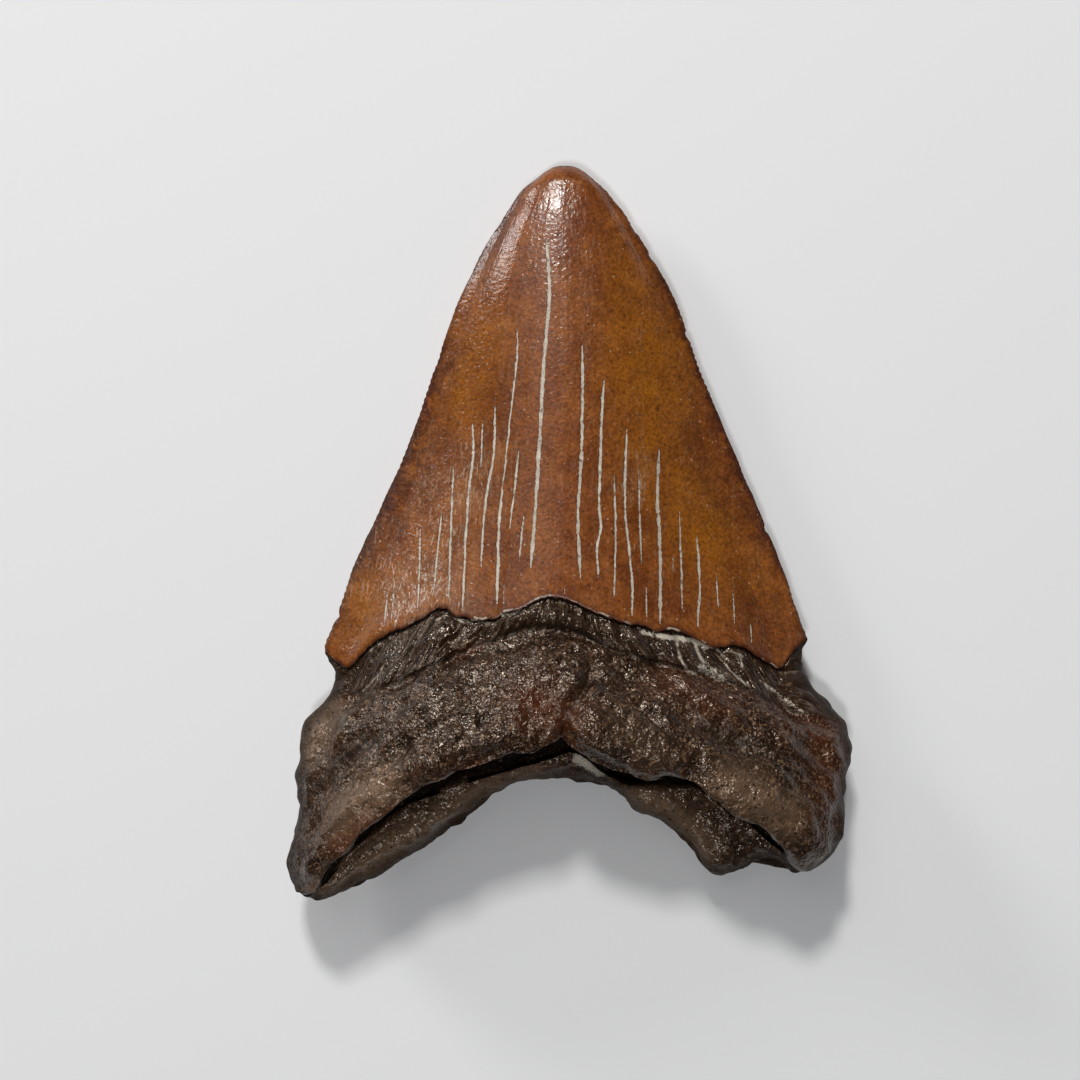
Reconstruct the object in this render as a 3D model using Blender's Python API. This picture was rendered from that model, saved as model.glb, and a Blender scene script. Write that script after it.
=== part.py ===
"""Fossil megalodon tooth, lying on its flat labial face.

The tooth is one closed solid: an enamel crown whose thin cutting edges run from the tip to
the shoulders, and a thick two-lobed root whose underside is split by a deep groove into a
front lip and a thin rear plate.

The solid is a loft. Ribs cross the tooth from its left outline to its right outline, and the
skin between them is divided into zones from the tip down: crown, enamel step, root face, lip
wall and rear plate on the lingual side, crown and root on the labial side. The two skins share
the outline, the tip and the rear edge.

The tip points along +Y, the display face looks up along +Z, and the origin is on the resting
plane under the middle of the tooth.
"""

import bpy
import numpy as np
from mathutils import Vector, noise

# Lengths below are millimetres, and the mesh is made in metres.
MM = 0.001

# Driving dimensions
HEIGHT = 102.0
GROOVE_HEIGHT = 4.8
PLATE_HEIGHT = 9.8
REAR_EDGE_HEIGHT = 5.0
ENAMEL_THICKNESS = 0.5
ENAMEL_STEP_WIDTH = 0.3
LIP_UNDERCUT = 1.8

# How finely the skins are divided
FRONT_COLUMNS = 50
BACK_COLUMNS = FRONT_COLUMNS // 2
CROWN_ROWS = 30
STEP_ROWS = 1
FACE_ROWS = 18
WALL_ROWS = 3
RISE_ROWS = 2
PLATE_ROWS = 6

# Outline of the left side from the tip to the lobe's end, as (x, y)
LEFT_OUTLINE = (
    (-3.6, 50.0),
    (-6.3, 47.9),
    (-8.8, 44.5),
    (-11.3, 40.6),
    (-14.2, 35.1),
    (-19.5, 21.0),
    (-22.3, 12.8),
    (-25.9, 4.4),
    (-29.8, -4.0),
    (-32.7, -12.3),
    (-34.1, -16.8),
    (-32.9, -19.2),
    (-32.8, -20.9),
    (-34.3, -23.3),
    (-36.6, -26.7),
    (-37.6, -31.5),
    (-37.8, -40.0),
    (-38.6, -45.0),
    (-38.2, -48.2),
    (-37.0, -50.1),
    (-34.8, -HEIGHT / 2),
)

# Outline of the right side from the tip to the lobe's end, as (x, y)
RIGHT_OUTLINE = (
    (2.2, 50.0),
    (4.6, 47.9),
    (7.0, 45.1),
    (10.0, 40.6),
    (13.3, 35.1),
    (18.8, 21.0),
    (24.3, 7.9),
    (30.0, -6.1),
    (32.3, -13.0),
    (33.0, -14.8),
    (32.3, -16.5),
    (32.3, -18.9),
    (33.9, -21.9),
    (36.0, -24.3),
    (37.8, -26.3),
    (38.6, -29.0),
    (38.2, -34.4),
    (37.8, -39.9),
    (36.8, -43.8),
    (34.6, -45.8),
    (31.2, -47.4),
)

# Ribs that cross the tooth from left to right, as (x, y)
TIP_ARC = ((-3.6, 50.0), (-2.4, 50.7), (-0.7, HEIGHT / 2), (1.0, 50.7), (2.2, 50.0))
ENAMEL_BORDER = (
    (-34.1, -16.8),
    (-32.2, -18.1),
    (-30.8, -18.9),
    (-28.5, -16.6),
    (-26.7, -15.0),
    (-21.9, -12.9),
    (-16.9, -10.5),
    (-15.4, -11.7),
    (-13.0, -11.8),
    (-6.9, -10.5),
    (-3.1, -8.8),
    (2.7, -10.7),
    (10.9, -13.3),
    (15.0, -13.9),
    (20.0, -15.8),
    (22.9, -15.9),
    (26.6, -17.7),
    (29.0, -18.9),
    (31.3, -16.2),
    (33.0, -14.8),
)
LABIAL_BORDER = (
    (-34.1, -16.8),
    (-31.0, -18.6),
    (-24.0, -17.4),
    (-12.0, -15.8),
    (-2.0, -14.0),
    (9.0, -15.6),
    (22.0, -17.6),
    (29.5, -18.4),
    (33.0, -14.8),
)
LIP = (
    (-37.8, -49.0),
    (-34.3, -48.4),
    (-32.7, -45.3),
    (-29.9, -42.8),
    (-27.3, -39.5),
    (-24.0, -37.2),
    (-19.4, -33.6),
    (-12.7, -31.3),
    (-10.1, -30.6),
    (-8.6, -29.5),
    (-5.3, -29.7),
    (-2.4, -28.2),
    (-1.1, -27.1),
    (-0.4, -28.2),
    (1.2, -29.2),
    (5.3, -31.9),
    (7.8, -32.3),
    (9.9, -33.1),
    (12.2, -32.6),
    (14.2, -32.6),
    (19.1, -35.6),
    (23.5, -38.7),
    (26.1, -39.7),
    (28.8, -42.6),
    (30.5, -44.9),
    (34.4, -46.0),
)
PLATE_CREST = (
    (-36.4, -50.4),
    (-34.0, -48.7),
    (-30.6, -44.5),
    (-26.1, -40.9),
    (-22.4, -37.9),
    (-18.2, -35.9),
    (-12.9, -34.1),
    (-7.7, -32.7),
    (-2.7, -31.3),
    (-0.3, -30.0),
    (4.7, -33.2),
    (6.8, -34.6),
    (14.2, -35.4),
    (17.4, -35.6),
    (22.1, -39.0),
    (26.8, -42.0),
    (29.2, -44.1),
    (32.8, -46.8),
)
REAR_EDGE = (
    (-34.8, -HEIGHT / 2),
    (-31.6, -50.0),
    (-24.9, -46.6),
    (-18.1, -42.3),
    (-7.0, -34.8),
    (-3.0, -34.3),
    (3.5, -35.2),
    (7.0, -36.3),
    (9.1, -38.4),
    (13.3, -40.7),
    (17.1, -44.2),
    (18.8, -46.8),
    (20.7, -48.0),
    (23.4, -47.0),
    (25.5, -46.1),
    (28.7, -46.3),
    (31.2, -47.4),
)

# Where the ribs of the root meet the left and the right outline, as y
LIP_ENDS = (-49.0, -46.0)
GROOVE_ENDS = (-49.7, -46.4)
CREST_ENDS = (-50.4, -46.8)
REAR_ENDS = (-HEIGHT / 2, -47.4)

# Height of the cutting edge over the resting plane, from the tip (0) to the shoulder (1)
CROWN_EDGE = ((0.0, 6.0), (0.4, 5.6), (0.8, 5.8), (1.0, 6.6))
# Height of the root's side over the resting plane, from the shoulder (0) to the lobe's end (1)
ROOT_EDGE = ((0.0, 6.6), (0.15, 7.8), (0.5, 9.2), (1.0, 7.2))
# Rise of the crown's lingual ridge over the cutting edge, from the tip (0) to the enamel's end
CROWN_RIDGE = (
    (0.0, 0.0),
    (0.02, 1.2),
    (0.07, 2.3),
    (0.2, 4.2),
    (0.45, 6.6),
    (0.75, 8.3),
    (1.0, 9.3),
)
# Fall of the crown's labial face under the cutting edge
CROWN_BELLY = (
    (0.0, 0.0),
    (0.02, 1.2),
    (0.07, 2.3),
    (0.2, 3.8),
    (0.45, 5.3),
    (0.6, 6.0),
    (0.72, 6.1),
    (0.85, 5.8),
    (1.0, 6.2),
)
# Height of the root face's middle over the resting plane, from the enamel (0) to the lip (1)
FACE_RIDGE = ((0.0, 15.4), (0.18, 16.3), (0.5, 19.2), (0.8, 21.6), (0.93, 21.9), (1.0, 19.4))
# How far down the zone each row lies, so that the rows crowd where the surface turns
FACE_SPREAD = ((0.0, 0.0), (0.6, 0.7), (0.85, 0.94), (1.0, 1.0))
# Height of the rear plate's middle, from its crest beside the groove (0) to the rear edge (1)
PLATE_RIDGE = (
    (0.0, PLATE_HEIGHT),
    (0.3, 9.5),
    (0.65, 8.4),
    (0.9, 6.6),
    (1.0, REAR_EDGE_HEIGHT),
)
PLATE_SPREAD = ((0.0, 0.0), (0.5, 0.56), (0.85, 0.92), (1.0, 1.0))
# How much shallower the groove gets at the lobes' ends
GROOVE_FADE = 3.5
# How the rear plate rises out of the groove, from its bottom (0) to the plate's crest (1)
RISE_SHAPE = ((0.0, 0.0), (0.5, 0.65), (1.0, 1.0))
# Height of the labial root's middle, from the labial border (0) to the rear edge (1)
LABIAL_RIDGE = (
    (0.0, 0.4),
    (0.25, -0.7),
    (0.6, -0.9),
    (0.82, 0.4),
    (0.96, 2.0),
    (1.0, REAR_EDGE_HEIGHT),
)
LABIAL_SPREAD = ((0.0, 0.0), (0.5, 0.62), (0.85, 0.95), (1.0, 1.0))

# A cross-section is full in the middle and falls to the outline as (1 - |u| ** power) ** edge.
# A blade has an edge near 1, and a rounded side has an edge near one half.
SECTION_POWER = ((0.0, 2.0), (1.0, 2.0), (1.35, 2.6), (2.0, 2.8), (3.0, 2.8))
SECTION_EDGE = ((0.0, 1.1), (0.95, 1.1), (1.0, 0.98), (1.35, 0.55), (2.0, 0.5), (3.0, 0.5))

# Furrows and swellings, each as its path (x, y), its reach and its height
NECK_LEDGE = (
    (-31.0, -22.2),
    (-23.1, -20.1),
    (-15.0, -16.2),
    (-6.9, -13.3),
    (-2.8, -12.8),
    (5.6, -15.8),
    (17.5, -19.0),
    (31.0, -24.8),
)
NECK_ROLL = ((-27.0, -18.2), (-17.0, -13.4), (-3.0, -10.8), (10.0, -15.0), (26.0, -19.8))
LEFT_LOBE_HOLLOW = ((-28.5, -27.5), (-32.5, -32.0), (-35.2, -37.0))
NOTCH_CREASE = ((-1.1, -27.4), (-0.7, -25.3), (0.6, -22.8), (1.9, -20.6), (2.6, -18.5))
RIGHT_LOBE_HOLLOW = ((19.6, -27.2), (23.3, -28.6), (27.4, -29.8), (31.6, -33.5))
SHOULDER_SEAM = ((25.7, -21.5), (29.0, -23.2), (32.6, -25.3))
PLATE_RIM = (
    (7.2, -35.7),
    (9.6, -38.0),
    (13.3, -39.7),
    (15.9, -41.3),
    (17.5, -44.2),
    (20.4, -46.4),
)
LABIAL_CREASE = ((-26.0, -19.8), (-12.0, -18.2), (-2.0, -16.6), (9.0, -18.2), (24.0, -20.2))
FACE_STROKES = (
    (NECK_LEDGE, 1.0, -0.7),
    (NECK_ROLL, 1.3, 0.5),
    (LEFT_LOBE_HOLLOW, 2.0, -1.2),
    (NOTCH_CREASE, 1.3, -1.3),
    # The right half stands out over the left one beside the crease.
    (((2.2, -27.6), (3.6, -24.0)), 2.6, 0.8),
    (((-4.6, -26.4), (-2.8, -23.0)), 2.4, -0.6),
    (RIGHT_LOBE_HOLLOW, 2.0, -1.5),
    (SHOULDER_SEAM, 1.0, 0.7),
    # dent between the seam and the enamel's corner
    (((30.0, -20.6), (33.0, -22.6)), 1.8, -1.0),
    # swellings along the left and the right lip
    (((-34.0, -43.0), (-24.0, -33.5), (-12.3, -27.6)), 2.6, 0.7),
    (((7.0, -28.5), (20.2, -32.6), (30.0, -37.8)), 2.4, 0.8),
)
PLATE_STROKES = (
    # rim of the left plate
    (((-22.5, -43.6), (-17.5, -39.4), (-8.2, -35.4)), 1.0, 0.7),
    (PLATE_RIM, 1.1, 0.9),
    # bowl of the right plate
    (((18.6, -39.6), (23.0, -42.6)), 2.6, -0.9),
)
LABIAL_STROKES = (
    # shallow hollow between the lobes
    (((-8.0, -33.0), (0.0, -30.5), (8.0, -33.5)), 3.0, 1.0),
    (LABIAL_CREASE, 1.1, 0.6),
)

# Grain of the root, as (wavelength, height)
ROOT_GRAIN = ((6.5, 0.34), (2.8, 0.2))
CROWN_GRAIN = ((16.0, 0.1),)

ENAMEL_COLOUR = (0.235, 0.085, 0.024, 1.0)
ROOT_COLOUR = (0.045, 0.030, 0.022, 1.0)


def clear_scene():
    """Removes everything that the scene holds."""
    for item in list(bpy.data.objects):
        bpy.data.objects.remove(item)


def smooth_through(points, at):
    """The height of the smooth curve through points, given as (place, height), at each place."""
    places, heights = np.array(points, float).T
    if places[0] > places[-1]:
        places, heights = places[::-1], heights[::-1]
    slopes = np.gradient(heights, places)
    index = np.clip(np.searchsorted(places, at) - 1, 0, len(places) - 2)
    span = places[index + 1] - places[index]
    t = np.clip((at - places[index]) / span, 0.0, 1.0)
    return (
        heights[index] * (1 + 2 * t) * (1 - t) ** 2
        + slopes[index] * span * t * (1 - t) ** 2
        + heights[index + 1] * t**2 * (3 - 2 * t)
        + slopes[index + 1] * span * t**2 * (t - 1)
    )


def side_points(outline, y):
    """The outline's points (x, y) at the given heights y."""
    return np.stack([smooth_through([(p[1], p[0]) for p in outline], y), y], axis=-1)


def rib_points(rib, columns):
    """The rib's points (x, y) at evenly spaced columns."""
    x = np.linspace(rib[0][0], rib[-1][0], columns + 1)
    return np.stack([x, smooth_through(rib, x)], axis=-1)


def zone_plan(upper, lower, left, right, spread, fade):
    """The plan (x, y) of a zone's rows and columns between two ribs and two stretches of outline.

    The rows blend from the upper rib to the lower one as spread says, and their ends are drawn
    onto the outlines, which matters less and less towards the middle as fade grows.
    """
    down = spread[:, None, None]
    plan = (1 - down) * upper[None] + down * lower[None]
    across = np.linspace(0.0, 1.0, upper.shape[0])[None, :, None]
    plan = plan + (1 - across) ** fade * (left[:, None] - plan[:, :1])
    plan = plan + across**fade * (right[:, None] - plan[:, -1:])
    return plan


def cross_section(station, across):
    """How full the section at each row's station is, from 1 in the middle to 0 at the outline."""
    power = smooth_through(SECTION_POWER, station)[:, None]
    edge = smooth_through(SECTION_EDGE, station)[:, None]
    return (1.0 - np.abs(across)[None, :] ** power) ** edge


def stroke_heights(plan, strokes):
    """What furrows and swellings add at each place of the plan."""
    total = np.zeros(plan.shape[:-1])
    for points, reach, height in strokes:
        path = np.array(points, float)
        nearest = np.full(plan.shape[:-1], np.inf)
        for start, end in zip(path[:-1], path[1:], strict=True):
            along = end - start
            t = np.clip(((plan - start) @ along) / (along @ along), 0.0, 1.0)
            gap = np.linalg.norm(plan - start - t[..., None] * along, axis=-1)
            nearest = np.minimum(nearest, gap)
        total += height * np.exp(-((nearest / reach) ** 2))
    return total


def rows_after(count):
    """Evenly spaced shares of a zone's rows, without the row that it shares with the zone above."""
    return np.linspace(0.0, 1.0, count + 1)[1:]


def root_edge_heights():
    """Heights of the root's side at each row below the enamel step."""
    count = FACE_ROWS + WALL_ROWS + RISE_ROWS + PLATE_ROWS
    return smooth_through(ROOT_EDGE, rows_after(count))


def lingual_skin():
    """Plan and height of the upper skin's rows, from the tip to the rear edge."""
    across = np.linspace(-1.0, 1.0, FRONT_COLUMNS + 1)
    tip = rib_points(TIP_ARC, FRONT_COLUMNS)
    border = rib_points(ENAMEL_BORDER, FRONT_COLUMNS)
    lip = rib_points(LIP, FRONT_COLUMNS)
    groove = lip + np.outer(1 - across**4, (0.0, LIP_UNDERCUT))
    crest = rib_points(PLATE_CREST, FRONT_COLUMNS)
    rear = rib_points(REAR_EDGE, FRONT_COLUMNS)
    edges = root_edge_heights()
    plans, heights = [], []

    share = np.linspace(0.0, 1.0, CROWN_ROWS + 1)
    plan = zone_plan(tip, border, *crown_sides(share), share, fade=2)
    section = cross_section(share, across)
    edge = smooth_through(CROWN_EDGE, share)[:, None]
    plans.append(plan)
    heights.append(edge + smooth_through(CROWN_RIDGE, share)[:, None] * section)

    share = rows_after(STEP_ROWS)
    below = border - (0.0, ENAMEL_STEP_WIDTH)
    fall = share[:, None] * (0.0, ENAMEL_STEP_WIDTH)
    plans.append(zone_plan(border, below, border[0] - fall, border[-1] - fall, share, fade=8))
    drop = ENAMEL_THICKNESS * share[:, None] * (1 - across**8)
    heights.append(heights[-1][-1:] - drop)

    share = rows_after(FACE_ROWS)
    spread = smooth_through(FACE_SPREAD, share)
    sides = outline_stretches(share, (below[0, 1], below[-1, 1]), LIP_ENDS)
    plan = zone_plan(below, lip, *sides, spread, fade=3)
    section = cross_section(1 + share, across)
    edge = edges[:FACE_ROWS, None]
    ridge = smooth_through(FACE_RIDGE, spread)[:, None]
    carved = stroke_heights(plan, FACE_STROKES) * section
    plans.append(plan)
    heights.append(edge + (ridge - edge) * section + carved)

    share = rows_after(WALL_ROWS)
    sides = outline_stretches(share, LIP_ENDS, GROOVE_ENDS)
    plans.append(zone_plan(lip, groove, *sides, share, fade=8))
    section = cross_section(2 + share, across)
    edge = edges[FACE_ROWS : FACE_ROWS + WALL_ROWS, None]
    top = heights[-1][-1:] - edges[FACE_ROWS - 1]
    bottom = edge + (GROOVE_HEIGHT + GROOVE_FADE * across**4 - edge) * section
    heights.append((1 - share[:, None]) * (edge + top) + share[:, None] * bottom)

    share = rows_after(RISE_ROWS)
    sides = outline_stretches(share, GROOVE_ENDS, CREST_ENDS)
    plans.append(zone_plan(groove, crest, *sides, share, fade=8))
    section = cross_section(2 + share, across)
    edge = edges[FACE_ROWS + WALL_ROWS : -PLATE_ROWS, None]
    bottom = heights[-1][-1:]
    top = edge + (PLATE_HEIGHT - edge) * section
    heights.append(bottom + (top - bottom) * smooth_through(RISE_SHAPE, share)[:, None])

    share = rows_after(PLATE_ROWS)
    spread = smooth_through(PLATE_SPREAD, share)
    sides = outline_stretches(share, CREST_ENDS, REAR_ENDS)
    plan = zone_plan(crest, rear, *sides, spread, fade=8)
    section = cross_section(2 + share, across)
    edge = edges[-PLATE_ROWS:, None]
    ridge = smooth_through(PLATE_RIDGE, spread)[:, None]
    carved = stroke_heights(plan, PLATE_STROKES) * section * (1 - share[:, None] ** 4)
    plans.append(plan)
    heights.append(edge + (ridge - edge) * section + carved)
    return np.concatenate(plans), np.concatenate(heights)


def crown_sides(share):
    """Left and right outline points of the crown's rows."""
    tip_ends = (TIP_ARC[0][1], TIP_ARC[-1][1])
    border_ends = (ENAMEL_BORDER[0][1], ENAMEL_BORDER[-1][1])
    return outline_stretches(share, tip_ends, border_ends)


def outline_stretches(share, upper, lower):
    """Left and right outline points of rows between two pairs of heights."""
    left = side_points(LEFT_OUTLINE, upper[0] + share * (lower[0] - upper[0]))
    right = side_points(RIGHT_OUTLINE, upper[1] + share * (lower[1] - upper[1]))
    return left, right


def labial_skin(seam):
    """Plan and height of the under skin's rows. Their ends follow seam, the upper skin's ends."""
    across = np.linspace(-1.0, 1.0, BACK_COLUMNS + 1)
    tip = rib_points(TIP_ARC, BACK_COLUMNS)
    border = rib_points(LABIAL_BORDER, BACK_COLUMNS)
    rear = rib_points(REAR_EDGE, BACK_COLUMNS)
    left, right = seam

    share = np.linspace(0.0, 1.0, CROWN_ROWS + 1)
    crown = slice(0, CROWN_ROWS + 1)
    plan = zone_plan(tip, border, left[crown], right[crown], share, fade=2)
    edge = smooth_through(CROWN_EDGE, share)[:, None]
    section = cross_section(share, across)
    height = edge - smooth_through(CROWN_BELLY, share)[:, None] * section
    plans, heights = [plan], [height]

    count = STEP_ROWS + FACE_ROWS + WALL_ROWS + RISE_ROWS + PLATE_ROWS
    share = rows_after(count)
    root = slice(CROWN_ROWS + 1, None)
    spread = smooth_through(LABIAL_SPREAD, share)
    plan = zone_plan(border, rear, left[root], right[root], spread, fade=3)
    edge = np.concatenate([[CROWN_EDGE[-1][1]] * STEP_ROWS, root_edge_heights()])[:, None]
    section = cross_section(1 + share, across)
    ridge = smooth_through(LABIAL_RIDGE, spread)[:, None]
    carved = stroke_heights(plan, LABIAL_STROKES) * section * (1 - share[:, None] ** 4)
    plans.append(plan)
    heights.append(edge + (ridge - edge) * section + carved)
    return np.concatenate(plans), np.concatenate(heights)


def grain(points, layers):
    """Height of the layered noise at each point."""
    return np.array(
        [sum(size * noise.noise(Vector(p) / wave) for wave, size in layers) for p in points]
    )


def roughened(points, is_root):
    """The points with the grain of enamel or root added along the thickness."""
    moved = points.copy()
    for chosen, layers in ((is_root, ROOT_GRAIN), (~is_root, CROWN_GRAIN)):
        moved[chosen, 2] += grain(points[chosen], layers)
    return moved


def build_tooth():
    """The tooth as one closed mesh, its enamel and root faces in their own materials."""
    upper_plan, upper_height = lingual_skin()
    seam = (upper_plan[:, 0], upper_plan[:, -1])
    lower_plan, lower_height = labial_skin(seam)
    upper = np.concatenate([upper_plan, upper_height[..., None]], axis=-1)
    lower = np.concatenate([lower_plan, lower_height[..., None]], axis=-1)
    rows = upper.shape[0] - 1

    front = np.arange(upper.shape[0] * (FRONT_COLUMNS + 1)).reshape(upper.shape[:2])
    inner = lower[1:-1, 1:-1].reshape(-1, 3)
    back = np.empty(lower.shape[:2], int)
    back[:, 0], back[:, -1] = front[:, 0], front[:, -1]
    back[0], back[-1] = front[0, ::2], front[-1, ::2]
    back[1:-1, 1:-1] = front.size + np.arange(len(inner)).reshape(rows - 1, -1)

    faces, kinds = [], []
    for row in range(rows):
        for column in range(FRONT_COLUMNS):
            above, under = front[row], front[row + 1]
            faces.append((above[column], under[column], under[column + 1], above[column + 1]))
            kinds.append(int(row >= CROWN_ROWS + STEP_ROWS))
        for column in range(BACK_COLUMNS):
            above = list(back[row, column : column + 2])
            under = list(back[row + 1, column : column + 2])
            # The tip's and the rear edge's rows have a point of the finer upper skin between.
            if row == 0:
                above.insert(1, front[0, 2 * column + 1])
            if row == rows - 1:
                under.insert(1, front[-1, 2 * column + 1])
            faces.append(tuple(above + under[::-1]))
            kinds.append(int(row >= CROWN_ROWS))

    points = np.concatenate([upper.reshape(-1, 3), inner])
    root_rows = np.arange(rows + 1) > CROWN_ROWS + STEP_ROWS
    is_root = np.concatenate(
        [np.repeat(root_rows, FRONT_COLUMNS + 1), np.repeat(root_rows[1:-1], BACK_COLUMNS - 1)]
    )
    points = roughened(points, is_root)
    # The labial face is worn flat where it rests.
    points[:, 2] = np.maximum(points[:, 2], 0.0)
    mesh = bpy.data.meshes.new("tooth")
    mesh.from_pydata((points * MM).tolist(), [], [tuple(map(int, face)) for face in faces])
    mesh.materials.append(material("enamel", ENAMEL_COLOUR, 0.3))
    mesh.materials.append(material("root", ROOT_COLOUR, 0.55))
    mesh.polygons.foreach_set("material_index", kinds)
    mesh.update()
    mesh.shade_smooth()
    return bpy.data.objects.new("tooth", mesh)


def material(name, colour, roughness):
    """A plain surface of one colour and roughness."""
    made = bpy.data.materials.new(name)
    made.use_nodes = True
    surface = made.node_tree.nodes["Principled BSDF"]
    surface.inputs["Base Color"].default_value = colour
    surface.inputs["Roughness"].default_value = roughness
    surface.inputs["Metallic"].default_value = 0.0
    return made


def main():
    """Builds the tooth in its own collection."""
    clear_scene()
    collection = bpy.data.collections.new("fossil megalodon tooth")
    bpy.context.scene.collection.children.link(collection)
    collection.objects.link(build_tooth())


main()
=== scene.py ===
"""Looks of a fossil megalodon tooth that lies on its flat side with its display face up.

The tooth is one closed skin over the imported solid. Two sheets make it, a lingual one seen from
above and a labial one underneath, which share the outline, the tip and the rear edge. Every
length in the classes is in millimetres, and the tip points along +Y. Crown and root are two
finishes of the same skin, parted at the enamel's border.
"""

import logging
from dataclasses import dataclass, field
from enum import Enum, IntEnum

import bpy
import numpy as np
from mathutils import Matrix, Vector, noise


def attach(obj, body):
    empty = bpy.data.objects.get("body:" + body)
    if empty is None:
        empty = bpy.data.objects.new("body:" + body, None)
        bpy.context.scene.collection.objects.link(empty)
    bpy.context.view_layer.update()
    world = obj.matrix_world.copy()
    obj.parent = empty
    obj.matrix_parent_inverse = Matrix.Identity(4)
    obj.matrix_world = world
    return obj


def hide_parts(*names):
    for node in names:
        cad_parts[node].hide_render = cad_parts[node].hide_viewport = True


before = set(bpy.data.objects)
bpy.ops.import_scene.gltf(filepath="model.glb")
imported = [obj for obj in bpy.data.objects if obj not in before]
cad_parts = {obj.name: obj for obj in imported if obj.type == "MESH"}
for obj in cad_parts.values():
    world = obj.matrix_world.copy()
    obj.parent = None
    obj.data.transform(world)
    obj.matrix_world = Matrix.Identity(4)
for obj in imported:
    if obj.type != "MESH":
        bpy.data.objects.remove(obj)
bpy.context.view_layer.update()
MM = 0.001
LOG = logging.getLogger("fossil_tooth")

Triple = tuple[float, float, float]
Colour = Triple
Place = tuple[float, float]
Path = tuple[Place, ...]
Array = np.ndarray


class Slot(IntEnum):
    """The finishes of the tooth's skin, in the order of its material slots."""

    ENAMEL = 0
    ROOT = 1


class Mark(Enum):
    """What the skin's points carry for the finishes, as named numbers."""

    CRACK_PLACE = "crack_place"
    CRACK_HALF = "crack_half"
    CUTTING_EDGE = "cutting_edge"
    BORDER_DEPTH = "border_depth"
    GOLD = "gold"
    BLUSH = "blush"
    DUSK = "dusk"
    SCUFF_AND_SHEEN = "scuff_and_sheen"
    NECK = "neck"
    FIBRE = "fibre"
    VEIN = "vein"
    CRUST = "crust"
    RUST = "rust"
    HOLLOW_SHADE = "hollow_shade"
    PAINTED_LIGHT = "pale"
    RIM = "rim"


@dataclass(frozen=True)
class SmoothCurve:
    """A smooth curve through points, each a place and the value there."""

    points: Path

    def at(self, places: Array) -> Array:
        """Value of the curve at each place.

        Args:
            places: Where to read the curve. Past its ends it stays level.

        Returns:
            The values, in the shape of places.
        """
        known, values = np.array(self.points, float).T
        if known[0] > known[-1]:
            known, values = known[::-1], values[::-1]
        slopes = np.gradient(values, known)
        index = np.clip(np.searchsorted(known, places) - 1, 0, len(known) - 2)
        span = known[index + 1] - known[index]
        t = np.clip((places - known[index]) / span, 0.0, 1.0)
        return (
            values[index] * (1 + 2 * t) * (1 - t) ** 2
            + slopes[index] * span * t * (1 - t) ** 2
            + values[index + 1] * t**2 * (3 - 2 * t)
            + slopes[index + 1] * span * t**2 * (t - 1)
        )

    def turned(self) -> "SmoothCurve":
        """The same curve read the other way, its places from its values."""
        return SmoothCurve(tuple((y, x) for x, y in self.points))

    def rib(self, columns: int) -> Array:
        """Evenly spaced points (x, y) of the curve from its first place to its last."""
        x = np.linspace(self.points[0][0], self.points[-1][0], columns + 1)
        return np.stack([x, self.at(x)], axis=-1)


@dataclass(frozen=True)
class Stroke:
    """A furrow or a swelling along a path, or a tint that follows one."""

    path: Path
    reach: float
    height: float

    def over(self, plan: Array) -> Array:
        """What the stroke adds at each place (x, y) of the plan."""
        return self.height * np.exp(-((distance_to(self.path, plan) / self.reach) ** 2))


@dataclass(frozen=True)
class Crack:
    """A mineral-filled crack of the enamel, from its upper end to its lower one."""

    path: Path
    width: float = 0.34


def distance_to(path: Path, plan: Array) -> Array:
    """Distance of each place of the plan to a path.

    Args:
        path: The path's corners (x, y).
        plan: Places, with (x, y) in the last axis.

    Returns:
        Distances in the shape of plan without its last axis.
    """
    corners = np.array(path, float)
    nearest = np.full(plan.shape[:-1], np.inf)
    for start, end in zip(corners[:-1], corners[1:], strict=True):
        along = end - start
        t = np.clip(((plan - start) @ along) / (along @ along), 0.0, 1.0)
        gap = np.linalg.norm(plan - start - t[..., None] * along, axis=-1)
        nearest = np.minimum(nearest, gap)
    return nearest


def smoothstep(low: float, high: float, value: Array) -> Array:
    """A smooth rise from 0 at low to 1 at high."""
    t = np.clip((value - low) / (high - low), 0.0, 1.0)
    return t * t * (3 - 2 * t)


def grain(points: Array, wave: float, seed: float = 0.0) -> Array:
    """Noise between about -1 and 1 at each point, with bumps about a wave apart."""
    flat = points.reshape(-1, points.shape[-1]) / wave + seed
    values = [noise.noise(Vector(p)) for p in flat.tolist()]
    return np.array(values).reshape(points.shape[:-1])


@dataclass(frozen=True)
class Grain:
    """A layer of noise: how high it is, how wide its bumps are, and its seed."""

    height: float
    wave: float
    seed: float = 0.0

    def on(self, points: Array) -> Array:
        """The layer's height at each point."""
        return self.height * grain(points, self.wave, self.seed)


def layers(grains: tuple[Grain, ...], points: Array) -> Array:
    """What several layers of noise add together at each point."""
    return sum(one.on(points) for one in grains)


def total(strokes: tuple[Stroke, ...], plan: Array) -> Array:
    """What several strokes add together at each place of the plan."""
    return sum((stroke.over(plan) for stroke in strokes), np.zeros(plan.shape[:-1]))


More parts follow.
